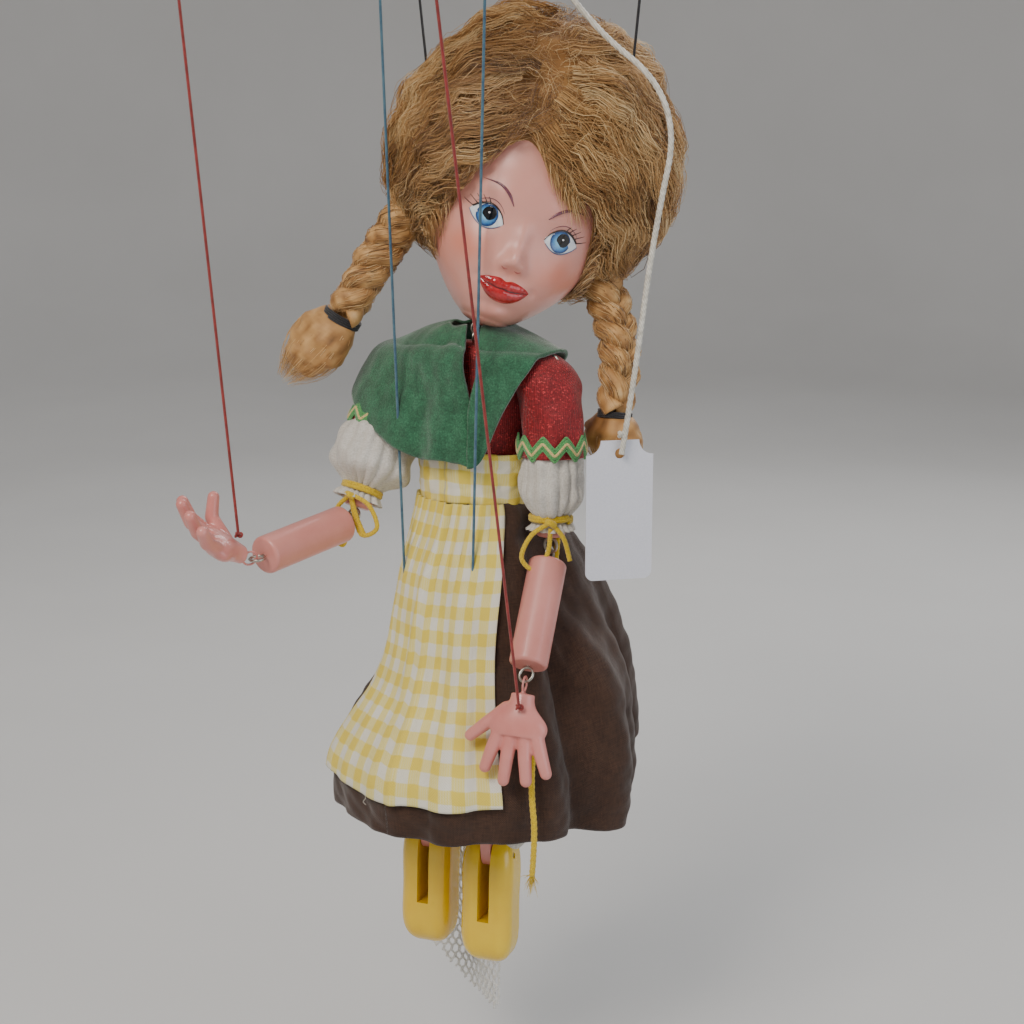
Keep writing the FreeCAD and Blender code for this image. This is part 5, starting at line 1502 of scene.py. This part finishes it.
def sleeve(side):
    body = f"upper_arm_{side}"
    tables = {"left": [(-4.5, 4.5), (-2, 8.2), (3, 10.2), (10, 9.8), (18, 9.4), (27.4, 9.9)],
              "right": [(-4.5, 4.5), (-2, 8.2), (3, 10.4), (10, 10.4), (18, 10.2), (27.4, 10.8)]}
    inward = [(-4.5, 6), (0, 4.0), (8, 1.2), (14, 0), (28, 0)]
    rings = sleeve_rings(side, tables[side], 40, lump=0.5, seed=81, inward=inward)
    end, hem = tables[side][-1]
    inner = sleeve_rings(side, [(end, hem - 0.5), (22, hem - 1.4)], 4, seed=81)
    whole = np.concatenate([rings, inner])
    finish_piece(loft(f"sleeve_cloth_{side}", whole), RED_CLOTH, body, [f"sleeve_{side}"])
    zigzag(side, 24.2, hem + 0.15)


def puff(side):
    """White puff gathered at the red sleeve and tied with yarn above the elbow."""
    body = f"upper_arm_{side}"
    belly = {"left": 9.9, "right": 12.8}[side]
    table = [(24, 8.2), (28, belly - 0.6), (34, belly), (41, belly - 0.5), (45.5, 6.4), (46.8, 5.3),
             (48.5, 6.2), (50.5, 7.4)]
    depth = [(24, 0.4), (30, 0.9), (36, 0.9), (44, 1.5), (47, 0.8), (50.5, 1.6)]
    rings = sleeve_rings(side, table, 64, 17, depth, 0.75, 91)
    inner = sleeve_rings(side, [(50.3, 6.6), (47, 4.9)], 4, 17, [(47, 0.6), (50.3, 1.4)], 0, 91)
    finish_piece(loft(f"puff_cloth_{side}", np.concatenate([rings, inner])), WHITE_COTTON, body,
                 [f"puff_sleeve_{side}"])
    yarn_tie(side, 46.8)


YARN_LOOPS = {
    "left": [[(0, 0), (6, 4), (9, 11), (5, 15), (1, 10), (0, 2)], [(0, 0), (-4, 5), (-6, 12)]],
    "right": [[(0, 0), (-7, 3), (-10, 10), (-4, 13), (-1, 6), (0, 1)],
              [(0, 0), (5, 5), (7, 13), (3, 17), (1, 9)], [(0, 0), (-2, 7), (-5, 13)]],
}


def yarn_tie(side, s):
    """Yarn wound twice round the gather, with a small loose bow in front."""
    shoulder, down, outward, forward = arm_frame(side)
    turns = np.linspace(0, 4 * math.pi, 220)
    path = (shoulder + down * (s + 1.7 * (turns / turns[-1] - 0.5))[:, None]
            + 6.3 * (np.cos(turns)[:, None] * outward + np.sin(turns)[:, None] * forward))
    pieces = [loft("wound", rope_rings(path, 0.8, 2, 2.6, 12))]
    facing = unit(vec(0.55, -0.8, 0))
    if side == "right":
        facing = unit(vec(0.2, -1, 0))
    start = shoulder + down * s + facing * 7.2
    aside = np.cross(facing, vec(0, 0, 1))
    for loop in YARN_LOOPS[side]:
        points = [start + aside * a - vec(0, 0, 1) * b + facing * 0.12 * abs(a) for a, b in loop]
        line, _ = even_path(curve_points(points, 60), 0.4)
        pieces.append(loft("loop", rope_rings(line, 0.8, 2, 2.6, 12)))
    middle = start + facing * 0.3
    knot_route = [middle + aside * 1.2, middle + facing * 0.8, middle - aside * 1.2 - vec(0, 0, 1)]
    pieces.append(loft("bow_knot", tube_rings(curve_points(knot_route, 16), 1.1, 12)))
    whole = join_meshes(f"yarn_bow_{side}", pieces)
    finish_piece(whole, YELLOW_YARN, f"upper_arm_{side}", [f"yarn_tie_{side}"])


def smoothed_copy(node, name, voxel, passes, material, body):
    """A softened copy of a CAD node's shape, as a moulding with its edges blended."""
    source = frame["nodes"][node]
    obj = bpy.data.objects.new(name, source.data.copy())
    bpy.context.scene.collection.objects.link(obj)
    obj.data.materials.clear()
    remesh = obj.modifiers.new("remesh", "REMESH")
    remesh.mode = "VOXEL"
    remesh.voxel_size = voxel * MM
    relax = obj.modifiers.new("relax", "SMOOTH")
    relax.factor = 0.5
    relax.iterations = passes
    depsgraph = bpy.context.evaluated_depsgraph_get()
    mesh = bpy.data.meshes.new_from_object(obj.evaluated_get(depsgraph))
    obj.modifiers.clear()
    obj.data = mesh
    mesh.shade_smooth()
    return finish_piece(obj, material, body, [node])


HAND_GROWTH = 0.15


def hands():
    """Moulded hands, a little plumper than their solids beyond the wrist's wire loop."""
    for side, _ in SIDES:
        hand = smoothed_copy(f"hand_{side}", f"moulded_hand_{side}", 0.32, 9, PINK_HAND, f"hand_{side}")
        wrist = JOINT[f"wrist_{side}"]
        place = np.empty(len(hand.data.vertices) * 3)
        hand.data.vertices.foreach_get("co", place)
        away = place.reshape(-1, 3) / MM - wrist
        growth = 1 + HAND_GROWTH * smooth(np.linalg.norm(away, axis=1), 4, 8)
        hand.data.vertices.foreach_set("co", ((wrist + away * growth[:, None]) * MM).ravel())


# ---------------------------------------------------------------- skirt and apron

SKIRT_TIGHT = [(-235, 17.0), (-245, 19.2), (-256, 21.8), (-270, 24.0), (-287, 27.0), (-298, 31.5),
               (-308, 38.5), (-318, 44.5), (-340, 46.0)]
SKIRT_FULL = [(-235, 17.6), (-241, 25.5), (-256, 35.5), (-270, 42.0), (-286, 46.5), (-304, 49.5),
              (-320, 51.0), (-340, 49.0)]
HEM = [(-180, -328), (-150, -326), (-120, -331), (-90, -335), (-54, -336), (0, -336.5), (40, -336),
       (75, -337), (100, -339), (118, -333), (140, -320), (160, -322), (180, -328)]
HEM_LOW = -339
PETTICOAT_TOP = -296
PETTICOAT_GAP = 2.2
VALLEY_DEPTH = 8
ELBOW_ROOM = 11
# Degrees round from the front over which the cloth stops following each thigh; less beside the lowered hand.
THIGH_REACH = {1: (27, 54), -1: (36, 70)}
# Flat widths in metres of the left and right halves.
SKIRT_WIDTHS = (0.142, 0.124)
APRON_WIDTHS = (0.036, 0.048)
FULL_SIDE = 128


def skirt_radius(phi, z):
    """Distance of the skirt from the body's axis: tight over the knees, full at the left and behind."""
    degrees = np.degrees(phi)
    away = np.abs((degrees - FULL_SIDE + 180) % 360 - 180)
    full = 1 - smooth(away, 15, 120)
    r = profile(SKIRT_TIGHT, z) * (1 - full) + profile(SKIRT_FULL, z) * full
    squeeze = 1 / np.hypot(np.cos(phi) / 0.86, np.sin(phi) / 1.04)
    waist = smooth(z, -262, -236)
    r = r * (squeeze * waist + (1 - waist))
    down = smooth(-z, 236, 300)
    front = bump((degrees + 180) % 360 - 180, -8, 52)
    depth = (0.5 + 4.2 * down) * (1 - 0.82 * front)
    folds = 0.55 * np.cos(10 * phi + 0.9 + 0.35 * np.sin(2 * phi)) + 0.45 * np.cos(15 * phi + 2.1 + z * 0.006)
    pinch = np.sign(folds) * np.abs(folds) ** 0.8
    valley = bump(degrees, 74, 9) * smooth(-z, 240, 262) * (1 - 0.3 * smooth(-z, 310, 335))
    elbow_room = bump(degrees, 94, 26) * smooth(-z, 236, 246) * (1 - smooth(-z, 264, 296))
    hollow = np.maximum(VALLEY_DEPTH * valley, ELBOW_ROOM * elbow_room)
    return r + depth * pinch * (1 - 0.6 * elbow_room) - hollow


def skirt_grid(phis, start, end, rows, offset=0.0):
    """Rows of skirt points between two heights, given as functions of the angle in degrees."""
    top = np.broadcast_to(start, phis.shape)
    low = np.broadcast_to(end, phis.shape)
    grid = []
    for t in np.linspace(0, 1, rows):
        z = top + (low - top) * t
        r = skirt_radius(phis, z) + offset
        grid.append(np.stack([r * np.sin(phis), -r * np.cos(phis), z], -1))
    return np.array(grid)


def hem_height(phi):
    return profile(HEM, (np.degrees(phi) + 180) % 360 - 180)


def cloth_uv(grid):
    """Flat cloth coordinates: along the widest row, and down each column."""
    across = np.linalg.norm(np.diff(grid, axis=1), axis=2)
    widest = across.sum(1).argmax()
    u = np.concatenate([[0], np.cumsum(across[widest])])
    down = np.linalg.norm(np.diff(grid, axis=0), axis=2)
    v = np.concatenate([np.zeros((1, grid.shape[1])), np.cumsum(down, 0)])
    return np.stack([np.broadcast_to(u, v.shape), v], -1)


STITCH_STEP = 0.25


def stitches(name, line, normals, length, gap, wire):
    """A row of short raised stitches along a line."""
    path, _ = even_path(line, STITCH_STEP)
    index = np.linspace(0, len(line) - 1, len(path))
    out = np.stack([np.interp(index, np.arange(len(line)), normals[:, k]) for k in range(3)], 1)
    pieces = []
    step = int((length + gap) / STITCH_STEP)
    run = int(length / STITCH_STEP)
    for start in range(2, len(path) - run - 2, step):
        part = path[start:start + run + 1]
        arch = np.sin(np.linspace(0, math.pi, run + 1)) * wire * 1.3 - wire * 0.4
        pieces.append(loft("stitch", tube_rings(part + out[start:start + run + 1] * arch[:, None], wire, 6)))
    return join_meshes(name, pieces)


def thigh_share(points, k):
    """How far each point of the skirt follows the thigh on side k: fully over the knee, less at the hem."""
    x, y, z = points.T
    round_body = np.abs(np.degrees(np.arctan2(x, -y)))
    hem = 1 - 0.42 * smooth(-z, 300, 335)
    return smooth(k * x, 2, 8) * (1 - smooth(round_body, *THIGH_REACH[k])) * smooth(-z, 252, 286) * hem


def thigh_halves(piece, material, replaced=()):
    """Splits a piece at the body's middle plane into halves that each bend with the thigh on their side."""
    whole = piece.data
    normals = np.empty(len(whole.vertices) * 3)
    whole.vertex_normals.foreach_get("vector", normals)
    whole.attributes.new("whole_normal", "FLOAT_VECTOR", "POINT").data.foreach_set("vector", normals)
    halves = []
    for side, k in SIDES:
        mesh = whole.copy()
        half = bpy.data.objects.new(f"{piece.name}_{side}", mesh)
        bpy.context.scene.collection.objects.link(half)
        cut = bmesh.new()
        cut.from_mesh(mesh)
        bmesh.ops.bisect_plane(cut, geom=cut.verts[:] + cut.edges[:] + cut.faces[:], dist=1e-6,
                               plane_co=(0, 0, 0), plane_no=(k, 0, 0), clear_inner=True)
        rim = bmesh.ops.holes_fill(cut, edges=[edge for edge in cut.edges if edge.is_boundary], sides=0)
        bmesh.ops.triangulate(cut, faces=rim["faces"])
        cut.to_mesh(mesh)
        cut.free()
        if not mesh.polygons:
            bpy.data.objects.remove(half)
            continue
        normals = np.empty(len(mesh.vertices) * 3)
        mesh.attributes["whole_normal"].data.foreach_get("vector", normals)
        mesh.attributes.remove(mesh.attributes["whole_normal"])
        mesh.normals_split_custom_set_from_vertices(normals.reshape(-1, 3))
        finish_piece(half, material, None, replaced)
        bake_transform(half, "torso", f"thigh_{side}", (0, 0, WAIST_LOW * MM), (0, 0, HEM_LOW * MM))
        place = np.empty(len(mesh.vertices) * 3)
        mesh.vertices.foreach_get("co", place)
        share = thigh_share(place.reshape(-1, 3) / MM, k)
        mesh.attributes["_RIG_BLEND"].data.foreach_set("value", share.astype(np.float32))
        halves.append(half)
    bpy.data.objects.remove(piece)
    return halves


def skirt():
    phis = around(420)
    hem = hem_height(phis)
    grid = skirt_grid(phis, -235.2, hem, 120)
    grid += 0.35 * ripple(grid, 7, 101)[..., None] * unit(grid * vec(1, 1, 0))
    closed_uv = cloth_uv(np.concatenate([grid, grid[:, :1]], 1))[:, :-1]
    piece = cloth_sheet("skirt_cloth", grid, 0.9, wrap=True, uv=closed_uv)
    for half, width in zip(thigh_halves(piece, BROWN_CLOTH, ["skirt"]), SKIRT_WIDTHS):
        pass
    row = grid[-8]
    outward = unit(row * vec(1, 1, 0))
    hem = stitches("skirt_hem_stitches", np.vstack([row, row[:1]]), np.vstack([outward, outward[:1]]),
                   1.3, 0.9, 0.16)
    thigh_halves(hem, BROWN_CLOTH_THREAD)


def petticoat():
    """White slip inside the skirt, which shows a little under the hem at the left front."""
    phis = around(240)
    low = hem_height(phis) + 3.5 - 6.5 * bump(np.degrees(phis), 52, 7)
    grid = skirt_grid(phis, PETTICOAT_TOP, low, 40, -PETTICOAT_GAP)
    uv = cloth_uv(np.concatenate([grid, grid[:, :1]], 1))[:, :-1]
    piece = cloth_sheet("petticoat_cloth", grid, 0.5, wrap=True, uv=uv)
    for half, width in zip(thigh_halves(piece, WHITE_COTTON, ["petticoat"]), SKIRT_WIDTHS):
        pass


APRON_HEM = -324
# Height and degrees round from the front, of each side edge.
APRON_LEFT = [(-235, 62), (-250, 55), (-270, 48), (-300, 45), (-330, 46)]
APRON_RIGHT = [(-235, -76), (-260, -74), (-300, -68), (-330, -64)]


def apron():
    """Gingham panel gathered under its waistband, hanging over the skirt's front."""
    rows, columns = 120, 200
    grid = []
    for t in np.linspace(0, 1, rows):
        z = WAIST_LOW + (APRON_HEM - WAIST_LOW) * t
        low = np.radians(profile(APRON_RIGHT, z))
        high = np.radians(profile(APRON_LEFT, z))
        w = np.linspace(0, 1, columns)
        phi = low + (high - low) * w
        height = z - 1.2 * t * np.cos(phi * 2.2)
        r = skirt_radius(phi, height * np.ones_like(phi)) + 1.7
        pleats = np.abs(np.sin(w * 13 * math.pi + 0.5 * np.sin(w * 9))) ** 0.7 - 0.5
        r = r + (1.0 * (1 - smooth(t, 0.0, 0.34)) + 0.12) * pleats + 0.5
        long_fold = 1.5 * bump(w, 0.60 - 0.16 * t, 0.028) * (1 - smooth(t, 0.5, 0.75))
        long_fold += 1.2 * bump(w, 0.62, 0.02) * smooth(t, 0.45, 0.7)
        long_fold += 1.0 * bump(w, 0.32 - 0.1 * t, 0.05) * smooth(t, 0.1, 0.5)
        r = r + long_fold
        grid.append(np.stack([r * np.sin(phi), -r * np.cos(phi), height], -1))
    grid = np.array(grid)
    piece = cloth_sheet("apron_cloth", grid, 0.6, uv=cloth_uv(grid))
    for half, width in zip(thigh_halves(piece, GINGHAM, ["apron"]), APRON_WIDTHS):
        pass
    row = grid[-5]
    hem = stitches("apron_hem_stitches", row[4:-4], unit(row * vec(1, 1, 0))[4:-4], 1.2, 0.9, 0.12)
    thigh_halves(hem, WHITE_THREAD)
    start = grid[-1, 96]
    wander = [start, start + vec(0.6, -0.4, -1.2), start + vec(-0.3, -0.5, -2.4),
              start + vec(0.5, -0.2, -3.4)]
    loose = loft("apron_loose_thread", tube_rings(curve_points(wander, 24), 0.11, 6))
    thigh_halves(loose, WHITE_THREAD)


def waistband():
    """Gingham band round the waist, with small creases."""
    phi = around(200)
    heights = np.linspace(WAIST_LOW - 0.6, WAIST_TOP, 26)
    rows = []
    for z in heights:
        t = (z - heights[0]) / (heights[-1] - heights[0])
        flat = oval_point(phi, 18.6 + 0.7 * t, 15.6 + 0.5 * t)
        rows.append(np.column_stack([flat, z + 0.5 * np.sin(phi * 3 + 1)]))
    rows = np.array(rows)
    outward = unit(rows * vec(1, 1, 0))
    creases = 0.35 * ripple(rows * vec(1, 1, 0.5), 8, 121) + 0.25 * ripple(rows, 3.5, 122)
    rows = rows + outward * creases[..., None]
    rows = rows[::-1]
    uv = cloth_uv(np.concatenate([rows, rows[:, :1]], 1))[:, :-1] * vec(1, 1) + vec(3, 2)
    piece = cloth_sheet("waistband_cloth", rows, 0.9, wrap=True, uv=uv)
    finish_piece(piece, GINGHAM, "torso", ["waistband"])


NET_OUTLINE = [(-22, -330), (2, -330), (2, -420), (-14, -416), (-30, -400)]
NET_CELL = 2.6
NET_DROP = 5.0
NET_WIRE = 0.42


def net():
    """Torn strip of white net: wavy threads that meet each neighbour at every turn."""
    (_, front, _), (_, rear, _) = [np.array(c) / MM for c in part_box("net_trim")]
    middle = (front + rear) / 2
    pieces = []
    z = np.arange(-420, -329.5, 0.5)
    for i, x0 in enumerate(np.arange(-32, 9, NET_CELL / 2)):
        wave = np.sin(2 * math.pi * z / NET_DROP + math.pi * i)
        x = x0 + NET_CELL / 4 * np.sign(wave) * np.abs(wave) ** 0.6
        y = middle + 2.2 * np.sin(x * 0.22 + z * 0.05) + 0.25 * (-1) ** i
        inside = np.zeros(len(z), bool)
        for (ax, az), (bx, bz) in zip(NET_OUTLINE, NET_OUTLINE[1:] + NET_OUTLINE[:1]):
            inside ^= ((az > z) != (bz > z)) & (x < (bx - ax) * (z - az) / (bz - az + 1e-9) + ax)
        path = np.stack([x, y, z], 1)[inside]
        if len(path) > 8:
            pieces.append(loft("net_thread", tube_rings(path, NET_WIRE, 6)))
    whole = join_meshes("net_lace", pieces)
    finish_piece(whole, NET_COTTON, "torso", ["net_trim"])


# ---------------------------------------------------------------- CAD pieces that stay

BROWN_CLOTH_THREAD = yarn("Brown sewing thread", ("#2A1A12", "#4A3224", "#6A4A36"))

KEPT = {
    "control_main_bar": CONTROL_LONG, "control_hand_bar": CONTROL_CROSS, "control_leg_bar": CONTROL_CROSS,
    "control_head_bar": CONTROL_CROSS, "control_screws": STEEL, "torso_block": BODY_WOOD,
    "torso_screw_eyes": NICKEL, "head_screw_eyes": NICKEL, "price_tag": CARD,
}
KEPT_PAIRS = {
    "upper_arm": PINK, "upper_arm_screw_eyes": NICKEL, "forearm": PINK, "forearm_screw_eyes": NICKEL,
    "thigh": PINK, "thigh_screw_eyes": NICKEL, "shin": PINK, "shin_screw_eye": NICKEL, "shoe": YELLOW_PAINT,
    "ankle_pin": STEEL,
}


def kept_nodes():
    """Materials of the CAD pieces whose shape is shown as it is."""
    materials = dict(KEPT)
    for name, material in KEPT_PAIRS.items():
        for side, _ in SIDES:
            materials[f"{name}_{side}"] = material
    for name, material in materials.items():
        node = frame["nodes"][name]
        for place in node.material_slots:
            place.material = material


# ---------------------------------------------------------------- assembly

studio()
strings()
face = head()
wig_base(face)
wig_locks()
fringe(face)
bodice()
collar()
skirt()
petticoat()
apron()
waistband()
net()
for side, _ in SIDES:
    braid(side)
    sleeve(side)
    puff(side)
hands()
kept_nodes()
